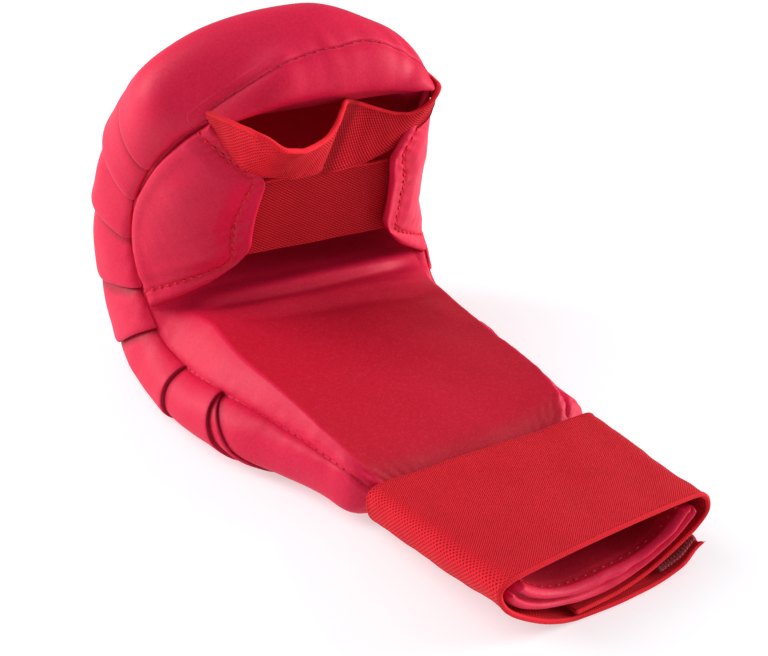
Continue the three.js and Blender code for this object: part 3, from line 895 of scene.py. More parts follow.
@dataclass
class PaddedBody:
    """The padding with its skin, side seams, tip face, lining and tongue; sizes are in mm."""

    rows: int = 262
    skin: int = 38
    turn: int = 15
    shoulder: int = 15
    lining: int = 38
    cap_steps: int = 16
    tip_crown: float = 6.0
    tip_top_at: float = 0.58
    lip_crown: float = 2.6
    lip_groove: float = 1.4
    tongue_row_at: float = 1.6
    band_over: tuple[float, float] = (56.0, 63.0)
    seam_depth: float = 0.6
    seam_width: float = 0.6
    pucker: float = 0.24
    pucker_pitch: float = 7.3
    tuck_fade: float = 6.0
    tuck_lap: float = 1.9
    seam_back: float = 0.20
    stitches_to: float = 22.0
    corner_in: float = 1.8
    ridge_at: Curve = (
        (0.0, 5.0, 6.5, 8.5, 10.0, 11.5, 14.0), (0.84, 0.92, 0.93, 0.85, 0.78, 0.80, 0.84))
    ridge_at_right: Curve = (
        (0.0, 5.0, 6.5, 8.0, 9.5, 11.5, 12.6, 14.0),
        (0.84, 0.95, 0.96, 0.95, 0.94, 0.93, 0.88, 0.84))
    ridge_less_right: Curve = (
        (5.8, 6.5, 7.2, 8.2, 9.5, 10.8, 11.6, 12.8), (0.0, 1.8, 4.0, 6.4, 6.8, 6.2, 4.0, 0.0))
    rings: Rings = field(init=False)
    grid: np.ndarray = field(init=False)

    def seam_places(self) -> np.ndarray:
        """Places of the rows along the seam: even along the padding, and close about each tuck."""
        fine = np.linspace(0, TIPS, 900)
        row = catmull(SECTIONS, fine)
        turn = np.radians(row[:, 2])
        out = 0.55 * row[:, 3]
        path = np.stack([row[:, 0] + out * np.sin(turn), row[:, 1] - out * np.cos(turn)], -1)
        run = lengths_along(path, 0)
        even = np.interp(np.linspace(0, run[-1], self.rows), run, fine)
        extra = (TUCKS[:, :1] + np.concatenate([-ROWS_BY_TUCK, ROWS_BY_TUCK])).ravel()
        kept = even[np.abs(even[:, None] - extra).min(1) > 0.018]
        return np.sort(np.concatenate([kept, extra]))

    def half(self, seam_place: np.ndarray, side: int) -> tuple[np.ndarray, ...]:
        """Half of every ring, from the skin's middle over the seam to the lining's middle.

        The skin is a superellipse, bulge cos^p and depth sin^p; from its widest line a quarter
        round leads in to the seam. A nearly flat shoulder rises to a ridge, and 1 - (1 - s)^2.8
        leads down from there to the lining's middle.

        Args:
            seam_place: Places of the rows, counted in sections.
            side: 1 on the right and -1 on the left.

        Returns:
            Points (rows, columns, 3), the share up the skin (columns), the share into the lining
            (columns) and the depth of the lining's folds (rows, columns).
        """
        right = side > 0
        steps = self.skin + self.turn
        up = np.concatenate([np.arange(steps) / steps, np.ones(self.shoulder + self.lining + 1)])
        bulge_place = np.interp(seam_place, [0, *TUCKS[:, 0], TIPS], [0, *TUCKS[:, 1], TIPS])
        place = mix(bulge_place[:, None], seam_place[:, None], smooth(0.45, 1.0, up))
        if right:
            back = smooth(0.05, 0.25, up) * (1 - smooth(0.45, 0.85, up))
            place = place - self.seam_back * back * smooth(17.0, TIPS, place)
        row = catmull(SECTIONS, place)
        y, z, turn, depth, mid, ridge = (row[..., k] for k in range(6))
        seam, bulge = (row[..., 8], row[..., 9]) if right else (row[..., 6], row[..., 7])
        if right:
            ridge = ridge - np.interp(place, *self.ridge_less_right)
            flatter = 0.35 * smooth(15.0, 17.6, place)
        else:
            flatter = 0.8 * smooth(16.7, TIPS, place)
        bulge_at, power = row[..., 10], 2.0 / (row[..., 11] - flatter)
        x, out, lean = np.zeros((3, *place.shape))

        angle = np.pi / 2 * (1 - np.arange(self.skin) / self.skin)
        s = slice(0, self.skin)
        x[:, s] = bulge[:, s] * np.cos(angle) ** power[:, s]
        out[:, s] = mix(bulge_at[:, s], depth[:, s], np.sin(angle) ** power[:, s])
        lean[:, s] = angle

        angle = np.pi / 2 * (1 - (1 - np.arange(self.turn) / self.turn) ** 1.5)
        s = slice(self.skin, steps)
        x[:, s] = mix(seam[:, s], bulge[:, s], np.cos(angle))
        out[:, s] = bulge_at[:, s] * (1 - np.sin(angle))
        lean[:, s] = -angle

        share = (np.arange(self.shoulder) / self.shoulder) ** 1.3
        s = slice(steps, steps + self.shoulder)
        ridge_x = seam * np.interp(place, *(self.ridge_at_right if right else self.ridge_at))
        level = mix(np.cos(np.pi / 2 * share), 1 - share, 0.7)
        x[:, s] = mix(ridge_x[:, s], seam[:, s], level)
        out[:, s] = -ridge[:, s] * mix(np.sin(np.pi / 2 * share), share, 0.7)

        share = (np.arange(self.lining + 1) / self.lining) ** 1.15
        s = slice(steps + self.shoulder, None)
        x[:, s] = ridge_x[:, s] * (1 - share)
        out[:, s] = mix(-ridge[:, s], mid[:, s], 1 - (1 - share) ** 2.8)
        inward = np.concatenate([np.zeros(steps + self.shoulder), share])
        fold = self.palm_folds(place, side * x / FOLD_REACH) * smooth(0.0, 0.3, inward)
        out += fold

        puff = self.puff(place, up)
        if right:
            corner = smooth(14.8, 16.2, place) * (1 - smooth(17.4, TIPS, place))
            on_skin = smooth(0.05, 0.32, up) * (1 - smooth(0.75, 1.0, up))
            puff = puff - self.corner_in * corner * on_skin
        x += puff * np.cos(lean) * (up < 1)
        out += puff * np.sin(lean) * (up < 1)
        turn = np.radians(turn)
        points = np.stack([side * x, y + out * np.sin(turn), z - out * np.cos(turn)], -1)
        return points, up, inward, fold

    @staticmethod
    def palm_folds(place: np.ndarray, across: np.ndarray) -> np.ndarray:
        """Depth of the palm's folds: the sum of their bells along the padding.

        Args:
            place: Places counted in sections.
            across: Distance from the middle to the right, in units of FOLD_REACH.

        Returns:
            Depth in mm, positive into the padding.
        """
        total = np.zeros_like(place)
        for at, wide, deep, lag, bow, more in PALM_FOLDS:
            off = place - at - lag * across - bow * across**2
            total += deep * (1 + more * across) * bell(off, wide)
        return total

    @staticmethod
    def puff(place: np.ndarray, up: np.ndarray) -> np.ndarray:
        """Puff of the skin between two tucks: least along a tuck, most halfway to the next."""
        fade = smooth(0.22, 0.6, up) * (1 - 0.55 * smooth(0.85, 1.0, up))
        total = np.zeros_like(place)
        at = mix(TUCKS[:, 1, None], TUCKS[:, 0, None], smooth(0.45, 1.0, up))
        for k, amount in enumerate(TUCKS[:-1, 2]):
            share = (place - at[k]) / (at[k + 1] - at[k])
            inside = (share >= 0) & (share < 1)
            arch = np.sin(np.pi * np.clip(share, 0, 1)) ** 0.7 - 0.5
            total += np.where(inside, amount * arch, 0)
        return total * fade

    def plain_rings(self) -> Rings:
        """Both halves joined to rings, and slanted."""
        places = self.seam_places()
        right, up, inward, fold = self.half(places, 1)
        left, _, _, left_fold = self.half(places, -1)
        back = slice(-2, 0, -1)
        points = slanted(np.concatenate([right, left[:, back]], 1))
        seam = self.skin + self.turn
        return Rings(
            places=places,
            points=points,
            up=np.concatenate([up, up[back]]),
            inward=np.concatenate([inward, inward[back]]),
            left=np.concatenate([np.zeros(right.shape[1]), np.ones(left.shape[1] - 2)]),
            fold=np.concatenate([fold, left_fold[:, back]], 1),
            seams=(seam, points.shape[1] - seam),
        )

    def tucked(self, rings: Rings) -> tuple[np.ndarray, np.ndarray, np.ndarray]:
        """How high the tucks stand, how far they lap over, and the painted shade along their
        creases.

        Past its line a tuck stands tall exp(-d / fade), a little rounded off at the line; before it
        the skin lies lower, and soon comes up again. On the right all that is a third as strong.

        Args:
            rings: The plain rings.

        Returns:
            Height and lap in mm, and the painted shade of the creases, each (rows, columns).
        """
        reach = smooth(0.16, 0.54, rings.up) * (1 - 0.35 * smooth(0.86, 1.0, rings.up)) * rings.skin
        height, lapped, crease_shade = np.zeros((3, *rings.run.shape))
        for number, (at_seam, _, _, tall, lap, dip) in enumerate(TUCKS):
            first = int(np.argmax(rings.places > at_seam))
            past = rings.run - rings.run[first]
            ahead, behind = np.clip(past, 0, None), np.clip(past, None, 0)
            weak = 0.32 + 0.10 * np.sin(number * 2.1)
            amount = reach * np.where(rings.left > 0, 1.0, weak)
            upper = np.exp(-ahead / self.tuck_fade) * (1 - 0.45 * np.exp(-ahead / 0.45))
            lower = np.exp(behind / (1.2 + 1.6 * dip))
            beyond = np.arange(len(rings.places))[:, None] >= first
            height += amount * np.where(beyond, tall * upper, -dip * lower)
            lapped += lap * amount * np.where(beyond, bell(past, self.tuck_lap), 0.0)
            # painted shade: a thin dark line just below each tuck's lip and a soft one below it, in
            # the colour only
            shade = bell(past + 0.5, 0.9) + 0.45 * bell(past + 2.4, 2.6)
            crease_shade += min(tall, 1.4) * amount * shade
        return height, lapped, crease_shade

    def press_seams(self, rings: Rings, height: np.ndarray) -> None:
        """Adds to height the side seams: a groove, a swell beside it and puckers across it."""
        away = rings.off_seam
        deeper = (0.35 + 0.65 * smooth(11.0, 12.0, rings.places))[:, None]
        height -= self.seam_depth * deeper * bell(away, self.seam_width)
        height += 0.22 * bell(away - 2.6, 2.0)
        waves = rings.run / self.pucker_pitch * 2 * np.pi + 2.2 * np.sin(rings.run / 23.0)
        pucker = np.sin(waves) * 0.6 + ripples(rings.points, 9.0, 3) * 0.5
        height += self.pucker * pucker * np.exp(-away / 4.5) * smooth(0.3, 2.0, away)

    @staticmethod
    def swell(rings: Rings, height: np.ndarray) -> None:
        """Adds to height the soft unevenness of the skin and of the lining."""
        height += uneven(rings.points, SKIN_SWELL) * rings.skin * smooth(0.15, 0.5, rings.up)
        height += uneven(rings.points, LINING_SWELL) * rings.inner

    @staticmethod
    def gather_tips(rings: Rings, height: np.ndarray) -> None:
        """Adds to height the tips' seam, the gathers and bumps behind it, and the lining's hem."""
        x, back, skin = rings.points[..., 0], rings.to_tips, rings.skin
        height -= 0.6 * bell(back, 0.8) * skin
        height += 0.25 * bell(back - 4.0, 3.0) * skin
        corner = gathers(x, back, 1.15, 0.35) * bell(x - 33.0, 8.0)
        height += 0.40 * corner * bell(back - 3.0, 5.0) * skin
        height += 0.16 * gathers(x, back, 1.6, 0.25, 2.0, 9.0) * bell(back - 2.5, 3.5) * skin
        for at, wide, reach, tall in TIP_BUMPS:
            height += tall * bell(x - at, wide) * bell(back, reach) * skin
        height += bell(back, 3.5) * smooth(0.0, 0.12, rings.inward)

    def gather_wrist(self, rings: Rings, height: np.ndarray) -> None:
        """Adds to height the tongue's sewn row and the gathers in front of the wrist elastic."""
        height -= 0.5 * bell(rings.run - self.tongue_row_at, 0.8) * rings.inner
        folds = gathers(rings.around, rings.run, 0.62, -0.10, 1.5, 6.0)
        near = bell(rings.points[..., 1] - 70.0, 8.0) * np.exp(-rings.off_seam / 7.0)
        height += 0.55 * folds * near

    def surface(self) -> Surface:
        """The whole padding as one closed surface.

        Returns:
            Rings of skin and lining with a rounded face at the finger tips and two lips at the
            wrist, moved along their normals by the tucks, the seams and soft unevenness.
        """
        self.rings = rings = self.plain_rings()
        height, lapped, crease_shade = self.tucked(rings)
        self.press_seams(rings, height)
        self.swell(rings, height)
        self.gather_tips(rings, height)
        self.gather_wrist(rings, height)

        forward = -np.gradient(rings.points, axis=0)
        forward /= np.linalg.norm(forward, axis=-1, keepdims=True)
        self.grid = rings.points + rings.normal * height[..., None] + forward * lapped[..., None]
        self.grid[..., 2] = np.maximum(self.grid[..., 2], FLOOR_CLEAR)

        # painted shade: the lining mask, full on the palm's lining and fading out towards the
        # finger tips
        in_palm = (1 - smooth(9.2, 12.6, rings.places))[:, None]
        lining = smooth(0.0, 0.025, rings.inward) * in_palm
        before_edge = 1 - smooth(*self.band_over, rings.run)
        # painted shade: the lining is coloured darker under the wrist elastic, up to where the band
        # ends
        shade_under_band = smooth(1.6, 3.4, rings.run) * before_edge * rings.inner
        broad = 0.4 * ripples(rings.points, *BROAD_SWELL) * rings.skin
        # painted shade: the finish darkens low relief, so the seam grooves, the palm's fold
        # valleys, the tuck creases and the lining under the wrist band are coloured darker
        relief = height - broad - 0.3 * rings.fold - 1.2 * crease_shade - 1.3 * shade_under_band
        values = {"relief": relief.ravel(), "lining": lining.ravel()}
        faces = grid_faces(*self.grid.shape[:2], wrap=True)
        skin = Surface(self.grid.reshape(-1, 3), faces, values)
        return skin.joined(self.cap(0)).joined(self.cap(-1))

    def lips(self, points: np.ndarray, share: np.ndarray, ends: np.ndarray) -> np.ndarray:
        """Swell of the wrist end: two lips, crown |sin 2 pi s|^0.55, with a groove between them.

        Args:
            points: The flat face, (columns, shares, 3).
            share: Share from the outer skin to the lining.
            ends: 0 at the face's two ends and 1 between them, (columns, 1).

        Returns:
            The swell in mm, (columns, shares).
        """
        profile = self.lip_crown * np.abs(np.sin(2 * np.pi * share)) ** 0.55
        profile = profile - self.lip_groove * bell(share - 0.5, 0.10)
        return profile * ends + 0.25 * ripples(points, 7.0, 21) * np.sin(np.pi * share)

    def roll(self, points: np.ndarray, share: np.ndarray, ends: np.ndarray) -> np.ndarray:
        """Swell of the finger tips: one soft roll with crumples that grow to the right.

        It is crown sin^0.75 up to the roll's top and crown cos from there down, so that its
        underside slopes at about 45 degrees.

        Args:
            points: The flat face, (columns, shares, 3).
            share: Share from the outer skin to the lining.
            ends: 0 at the face's two ends and 1 between them, (columns, 1).

        Returns:
            The swell in mm, (columns, shares).
        """
        top = self.tip_top_at
        rising = np.sin(np.pi / 2 * np.clip(share / top, 0, 1)) ** 0.75
        falling = np.cos(np.pi / 2 * np.clip((share - top) / (1 - top), 0, 1))
        profile = self.tip_crown * rising * falling - 0.5 * bell(share, 0.04)
        across = points[:, :1, 0]
        crumple = np.sin(across / 2.1 + 5.0 * share) * bell(across - 36.0, 9.0)
        broad = np.sin(across / 5.2 - 3.0 * share) * smooth(-10.0, 20.0, across)
        crumple = crumple + 0.5 * broad
        return profile * ends + 0.34 * crumple * np.sin(np.pi * share) * ends

    def cap(self, row: int) -> Surface:
        """The face that closes the rings at one end, from the outer skin to the lining.

        Args:
            row: 0 at the wrist and -1 at the tips.

        Returns:
            The face as a grid that shares its border with the ring.
        """
        ring = self.grid[row]
        half = len(ring) // 2
        number = np.arange(-half // 2, half // 2 + 1)
        outer, inner = ring[number % len(ring)], ring[(half - number) % len(ring)]
        share = spread(self.cap_steps + 1, 1.0)
        points = mix(outer[:, None], inner[:, None], share[None, :, None])
        ends = smooth(0.0, 6.0, np.linalg.norm(outer - inner, axis=-1))[:, None]
        out = (self.lips if row == 0 else self.roll)(points, share, ends)
        out[:, 0] = out[:, -1] = 0.0
        points[..., 1] -= out
        relief = np.maximum((out - out.max() * 0.6) * 0.5, -0.1)
        # painted shade: the underside of the finger tips' roll is coloured darker
        if row != 0:
            relief = relief - 1.1 * smooth(0.62, 0.86, share)
        return Surface(points.reshape(-1, 3), grid_faces(*points.shape[:2]),
                       {"relief": relief.ravel(), "lining": np.zeros(relief.size)})

    def tip_seam(self) -> tuple[np.ndarray, np.ndarray]:
        """The tip face's seam from the left to where its stitches end, with outward directions."""
        ring = self.grid[-1]
        half = len(ring) // 2
        number = np.arange(-half // 2 + 3, half // 2 - 2)
        line = ring[number % len(ring)]
        line = line[line[:, 0] < self.stitches_to]
        up = np.stack([line[:, 0] / 90.0, np.full(len(line), -0.7), np.full(len(line), 0.7)], -1)
        return line, up

    def side_seam(self, side: int, start: float, stop: float) -> tuple[np.ndarray, np.ndarray]:
        """A stretch of a side seam with its outward directions.

        Args:
            side: 1 on the right and -1 on the left.
            start: Distance from the wrist end where it starts, in mm.
            stop: The same where it stops.

        Returns:
            Points and directions.
        """
        column = self.rings.seams[0 if side > 0 else 1]
        run = self.rings.run[:, column]
        chosen = (run >= start) & (run <= stop)
        return self.grid[chosen, column], self.rings.normal[chosen, column]

    def tongue_row(self) -> tuple[np.ndarray, np.ndarray]:
        """The stitch row across the tongue, close to its end."""
        half = self.grid.shape[1] // 2
        row = int(np.argmin(np.abs(self.rings.run[:, half] - self.tongue_row_at)))
        number = np.arange(half - self.lining, half + self.lining + 1)
        return self.grid[row, number], self.rings.normal[row, number]


# ---------------------------------------------------------------- cheeks


@dataclass
class Cheek:
    """A padded side cheek, sewn along the body's side seam, with a flat border and a stitch row.

    Corners are given on the right before the slant. Sizes are in mm; first and last are the places
    of the sewn edge's ends in sections, and rounds are the two free corners' shares of the square.
    """

    side: int
    low: Place
    high: Place
    off_seam: float
    in_seam: float
    puff: float
    out: Place = (0.66, -0.72, 0.10)
    first: float = 12.0
    last: float = 18.0
    top_turn: float = 0.45
    bow: float = 1.5
    border: float = 5.5
    bend: tuple[float, float] = (0.10, 0.07)
    face: float = 1.15
    lining: float = 1.1
    bead: float = 0.35
    field_rise: float = 1.3
    groove: float = 0.55
    steps: tuple[int, int] = (84, 110)
    rounds: tuple[tuple[float, float], tuple[float, float]] = ((0.42, 0.22), (0.16, 0.10))
    swell: Layers = ((16.0, 31, 0.22), (6.0, 32, 0.07))

    def seam(self, share: np.ndarray) -> np.ndarray:
        """The sewn edge at shares of the way up it, on the right before the slant."""
        row = catmull(SECTIONS, mix(self.first, self.last, share))
        turn = np.radians(row[..., 2] * (1 - self.top_turn * share**4))
        half = row[..., 8] if self.side > 0 else row[..., 6]
        return np.stack([half - self.in_seam, row[..., 0] - self.off_seam * np.sin(turn),
                         row[..., 1] + self.off_seam * np.cos(turn)], -1)

    def rounded(self, inward: np.ndarray, up: np.ndarray) -> tuple[np.ndarray, np.ndarray]:
        """Shares of the square moved so that its two free corners are round.

        In a corner box each share is multiplied by sqrt(1 - the other squared / 2).

        Args:
            inward: Share from the sewn to the free edge.
            up: Share from the low to the high edge.

        Returns:
            The moved shares.
        """
        new_in, new_up = inward.copy(), up.copy()
        for corner, (wide, tall) in enumerate(self.rounds):
            p = np.clip((inward - (1 - wide)) / wide, 0, 1)
            q = np.clip(((tall - up) if corner == 0 else (up - (1 - tall))) / tall, 0, 1)
            both = (p > 0) & (q > 0)
            new_in = np.where(both, 1 - wide + wide * p * np.sqrt(1 - q**2 / 2), new_in)
            moved = tall * q * np.sqrt(1 - p**2 / 2)
            new_up = np.where(both, tall - moved if corner == 0 else 1 - tall + moved, new_up)
        return new_in, new_up

    def middle(self, inward: np.ndarray, up: np.ndarray) -> np.ndarray:
        """Middle surface: a Coons patch between the four edges, bulging outwards.

        Args:
            inward: Share from the sewn to the free edge.
            up: Share from the low to the high edge.

        Returns:
            Points in mm, of the shares' shape.
        """
        inward, up = self.rounded(inward, up)
        low, high = np.array(self.low), np.array(self.high)
        seam_low, seam_high = self.seam(np.array(0.0)), self.seam(np.array(1.0))
        a, b = inward[..., None], up[..., None]
        free = mix(low, high, b) + np.array([1.0, 0, 0]) * self.bow * np.sin(np.pi * b)
        across = mix(self.seam(up), free, a)
        upward = mix(mix(seam_low, low, a), mix(seam_high, high, a), b)
        corners = mix(mix(seam_low, seam_high, b), mix(low, high, b), a)
        tall = np.clip(np.sin(np.pi * up), 0, 1) ** 0.6
        bulge = self.puff * np.sin(np.pi * inward) ** 0.9 * tall
        points = across + upward - corners + bulge[..., None] * np.array(self.out)
        points[..., 0] *= self.side
        return slanted(points)

    def stitch_path(self) -> tuple[np.ndarray, np.ndarray]:
        """Shares along the stitch row: in by the low edge, up the free edge and back at the top."""
        grid_in, grid_up = np.meshgrid(np.linspace(0, 1, 40), np.linspace(0, 1, 60))
        points = self.middle(grid_in, grid_up)
        side_in = self.border / lengths_along(points, 1)[:, -1].mean()
        side_up = self.border / lengths_along(points, 0)[-1].mean()
        turn = np.linspace(0, np.pi / 2, 12)
        bend_in, bend_up = self.bend
        edge_in = 1 - side_in * 1.15
        parts = [
            (np.linspace(0.02, edge_in - bend_in, 40), np.full(40, side_up)),
            (edge_in - bend_in + bend_in * np.sin(turn), side_up + bend_up * (1 - np.cos(turn))),
            (np.full(50, edge_in), np.linspace(side_up + bend_up, 1 - side_up - bend_up, 50)),
            (edge_in - bend_in * (1 - np.cos(turn)), 1 - side_up - bend_up * (1 - np.sin(turn))),
            (np.linspace(edge_in - bend_in, 0.03, 40), np.full(40, 1 - side_up)),
        ]
        return np.concatenate([p[0] for p in parts]), np.concatenate([p[1] for p in parts])

    def surfaces(self) -> tuple[Surface, np.ndarray, np.ndarray]:
        """The cheek and its stitch row.

        Its outer face rises from the stitch row to a padded field and to a rolled border, over a
        groove bell(distance) along the row; the edge is a quarter round.

        Returns:
            The surface, the stitch row's points and their outward directions.
        """
        inward, up = np.meshgrid(*(spread(count + 1, 0.55) for count in self.steps))
        middle = self.middle(inward, up)
        line = polyline(self.middle(*self.stitch_path()), 0.8)
        away = distance_to_line(middle, line)
        across, upright = lengths_along(middle, 1), lengths_along(middle, 0)
        edges = [across, across[:, -1:] - across, upright, upright[-1:] - upright]
        edge, free_edge = np.minimum.reduce(edges), np.minimum.reduce(edges[1:])
        in_field = smooth(0.0, 1.0, free_edge - self.border)
        padded = self.field_rise * smooth(0.3, 7.0, away) * in_field
        bead = self.bead * bell(free_edge - 1.7, 1.4) * (1 - in_field)
        sewn_roll = 0.5 * bell(across - 3.0, 2.5)
        swell = uneven(middle, self.swell)
        pinch = 0.16 * np.sin(upright / 2.7 * 2 * np.pi / 2.2) * bell(away, 3.0)
        # the finish also paints shade where this relief is low, darkening the groove along the
        # stitch row
        relief = bead + padded * 0.5 - self.groove * bell(away, 0.8) + sewn_roll + swell + pinch
        front = np.maximum(self.face + relief + padded * 0.5, 0.35) * rim(edge, 1.5)
        back = np.maximum(self.lining + 0.2 * swell, 0.4) * rim(edge, 1.3)

        normal = normals_of(middle)
        outward = np.array([self.side * self.out[0], *self.out[1:]])
        sign = np.sign(normal[len(middle) // 2, middle.shape[1] // 2] @ outward)
        over, under = (front, back) if sign > 0 else (back, front)
        flat = middle.reshape(-1, 3)
        nearest = np.array([np.argmin(np.linalg.norm(flat - p, axis=1)) for p in line])
        facing = sign * normal.reshape(-1, 3)[nearest]
        sheet = slab(middle, over, under, {"relief": relief, "lining": np.zeros_like(relief)})
        return sheet, line + facing * front.ravel()[nearest][:, None], facing


# ---------------------------------------------------------------- elastics


def woven(middle: np.ndarray, thick: float, width: float, values: dict[str, np.ndarray],
          bead: float) -> Surface:
    """An elastic about its middle surface, with corded edges and round rims.

    Args:
        middle: Grid (along, across, 3).
        thick: Thickness in mm.
        width: Width across in mm.
        values: Values of the grid's points.
        bead: How much fatter the corded edges are, in mm.

    Returns:
        The closed surface with its cloth coordinates.
    """
    across = lengths_along(middle, 1)
    across = across / across[:, -1:] * width
    along = lengths_along(middle, 0)
    along = np.repeat(along[:, along.shape[1] // 2][:, None], middle.shape[1], 1)
    side = np.minimum(across, width - across)
    end = np.minimum(along, along[-1:] - along)
    cord = bead * bell(side - 0.9, 0.8) - bead * 0.6 * bell(side - 2.3, 0.5)
    half = (thick / 2 + cord) * rim(side, 0.75) * rim(end, 0.5)
    return slab(middle, half, half, values, np.stack([along, across], -1) / CLOTH_UNIT)


def raised(middle: np.ndarray, height: np.ndarray) -> np.ndarray:
    """A grid moved by height along its own normals."""
    return middle + normals_of(middle) * height[..., None]


# Middle surface of the wrist elastic, wound from its sewn end under the tongue. Columns: x and z at
# the mouth, x and z at the back.
WRIST_ROUND = np.array([
    [-12, 3.1, -16, 3.1],
    [4, 3.1, 4, 3.1],
    [17, 5.6, 20, 4.8],
    [27.5, 10.2, 34, 6.1],
    [36.6, 15.3, 43, 10.0],
    [40.8, 20.6, 47, 15.2],
    [38.2, 26.8, 45.5, 19.4],
    [30, 28.7, 34, 19.3],
    [0, 29.5, 0, 19.3],
    [-30, 28.9, -33, 19.3],
    [-39.0, 27.6, -40.8, 18.7],
    [-41.4, 24.0, -42.6, 15.4],
    [-38.0, 17.0, -41.2, 8.0],
    [-30.2, 10.2, -35, 3.2],
    [-20.4, 4.2, -22, 0.95],
    [-10, 0.95, -8, 0.9],
    [8, 0.9, 8, 0.9],
    [22, 1.5, 22, 0.9],
    [32, 4.0, 33, 1.2],
    [41.4, 7.6, 43.0, 3.6],
], float)


@dataclass
class WristStrap:
    """The wide wrist elastic: a spiral over the tongue and back underneath, with a cut free end.

    Sizes are in mm. The open weave runs from net_from to net_to, counted in rows of the table.
    """

    width: float = 66.0
    thick: float = 1.35
    bead: float = 0.22
    lead: float = 1.9
    pinch: float = 1.1
    steps: tuple[int, int] = (430, 54)
    net_from: float = 9.2
    net_to: float = 13.2
    swell: Layers = ((24.0, 41, 0.32), (9.0, 42, 0.10))

    def middle(self, around: np.ndarray, back: np.ndarray) -> np.ndarray:
        """Points of the middle surface.

        Args:
            around: Places around the turn, counted in rows of the table.
            back: Shares from 0 at the mouth to 1 at the back.

        Returns:
            Points in mm.
        """
        row = catmull(WRIST_ROUND, around)
        pinch = self.pinch * bell(back - 0.38, 0.28) * bell(around - 5.6, 1.1)
        x = mix(row[..., 0], row[..., 2], back) - pinch
        z = np.maximum(mix(row[..., 1], row[..., 3], back), self.thick / 2 + FLOOR_CLEAR)
        underneath = smooth(14.6, 16.0, around) * (1 - smooth(17.8, 18.8, around))
        y = self.width * back - self.lead * underneath * (1 - back)
        return slanted(np.stack([x, y, z], -1))

    def surface(self) -> Surface:
        """The elastic with its open weave at the left fold and its ragged free end."""
        last = len(WRIST_ROUND) - 1
        around, back = np.meshgrid(np.linspace(0, last, self.steps[0]), spread(self.steps[1], 0.6),
                                   indexing="ij")
        across = back * self.width
        teeth = 0.16 * np.abs(np.sin(across / 1.9)) + 0.05 * np.sin(across / 0.8)
        around = around - teeth * smooth(last - 1.2, last, around)
        middle = self.middle(around, back)
        loose = smooth(0.0, 1.0, around) * smooth(0, 0.1, back)
        middle = raised(middle, uneven(middle, self.swell) * loose)
        lowest = self.thick / 2 + self.bead + FLOOR_CLEAR
        middle[..., 2] = np.maximum(middle[..., 2], lowest)
        opened = smooth(self.net_from, self.net_from + 1.4, around)
        stretch = opened * (1 - smooth(self.net_to, self.net_to + 1, around))
        return woven(middle, self.thick, self.width,
                     {"stretch": stretch, "relief": np.zeros_like(stretch)}, self.bead)


# The finger strap from the thumb's side to the other. Columns: x, y, z of its upper and lower edge.
FINGER_ROUND = np.array([
    [-44.5, 166.0, 117.5, -40.5, 170.0, 105.0],
    [-43.1, 156.0, 117.9, -37.5, 165.0, 100.5],
    [-40.7, 149.5, 117.2, -34.5, 160.5, 96.5],
    [-36.8, 142.0, 115.3, -30.5, 158.5, 93.6],
    [-30.0, 138.5, 110.0, -26.0, 158.0, 92.0],
    [-21.2, 140.5, 106.8, -20.5, 157.8, 90.3],
    [-13.0, 144.5, 105.9, -14.5, 157.8, 89.0],
    [-6.5, 148.2, 107.0, -9.8, 157.8, 88.7],
    [-1.0, 151.6, 110.4, -7.0, 158.0, 88.9],
    [2.4, 154.6, 112.4, -5.4, 158.6, 89.2],
    [4.4, 156.4, 113.8, -5.2, 160.6, 89.2],
    [6.8, 158.2, 113.9, -6.0, 162.2, 88.4],
    [9.6, 159.5, 112.8, -3.5, 162.8, 86.4],
    [12.8, 159.5, 111.3, 1.3, 161.8, 85.8],
    [18.2, 157.8, 108.9, 9.0, 161.0, 86.2],
    [25.0, 155.0, 106.4, 16.5, 159.8, 88.2],
    [31.0, 152.2, 106.4, 24.0, 158.0, 91.2],
    [36.5, 150.5, 109.2, 30.5, 156.2, 95.2],
    [41.2, 151.2, 114.1, 38.2, 153.8, 101.6],
    [41.0, 153.7, 116.4, 40.6, 153.6, 107.8],
    [39.4, 157.4, 118.2, 40.9, 156.8, 112.6],
    [35.8, 161.8, 119.2, 39.0, 161.2, 114.2],
], float)


@dataclass
class FingerStrap:
    """The narrow elastic of the fingers, in two loops; sizes are in mm."""

    thick: float = 1.4
    bead: float = 0.28
    weave_width: float = 21.0
    middle_stitch: float = 11.9
    steps: tuple[int, int] = (330, 30)

    def surface(self) -> Surface:
        """The strap between its two edges, ruled across and bowed a little."""
        last = len(FINGER_ROUND) - 1
        around, up = np.meshgrid(np.linspace(0, last, self.steps[0]), spread(self.steps[1], 0.6),
                                 indexing="ij")
        row = catmull(FINGER_ROUND, around)
        middle = mix(row[..., 3:], row[..., :3], up[..., None])
        bow = 0.5 * np.sin(np.pi * up) * np.sin(around * 0.9) + 0.2 * ripples(middle, 8.0, 51)
        middle = raised(middle, bow)
        width = float(lengths_along(middle, 1)[:, -1].mean())
        stretch = 1 - smooth(2.6, 4.6, around)
        # painted shade: this relief only darkens the colour, at the fold by the middle stitch and
        # at the strap's start by the cheek
        relief = -2.0 * bell(around - self.middle_stitch, 1.0) - 0.8 * bell(around, 2.0)
        return woven(middle, self.thick, width, {"stretch": stretch, "relief": relief}, self.bead)


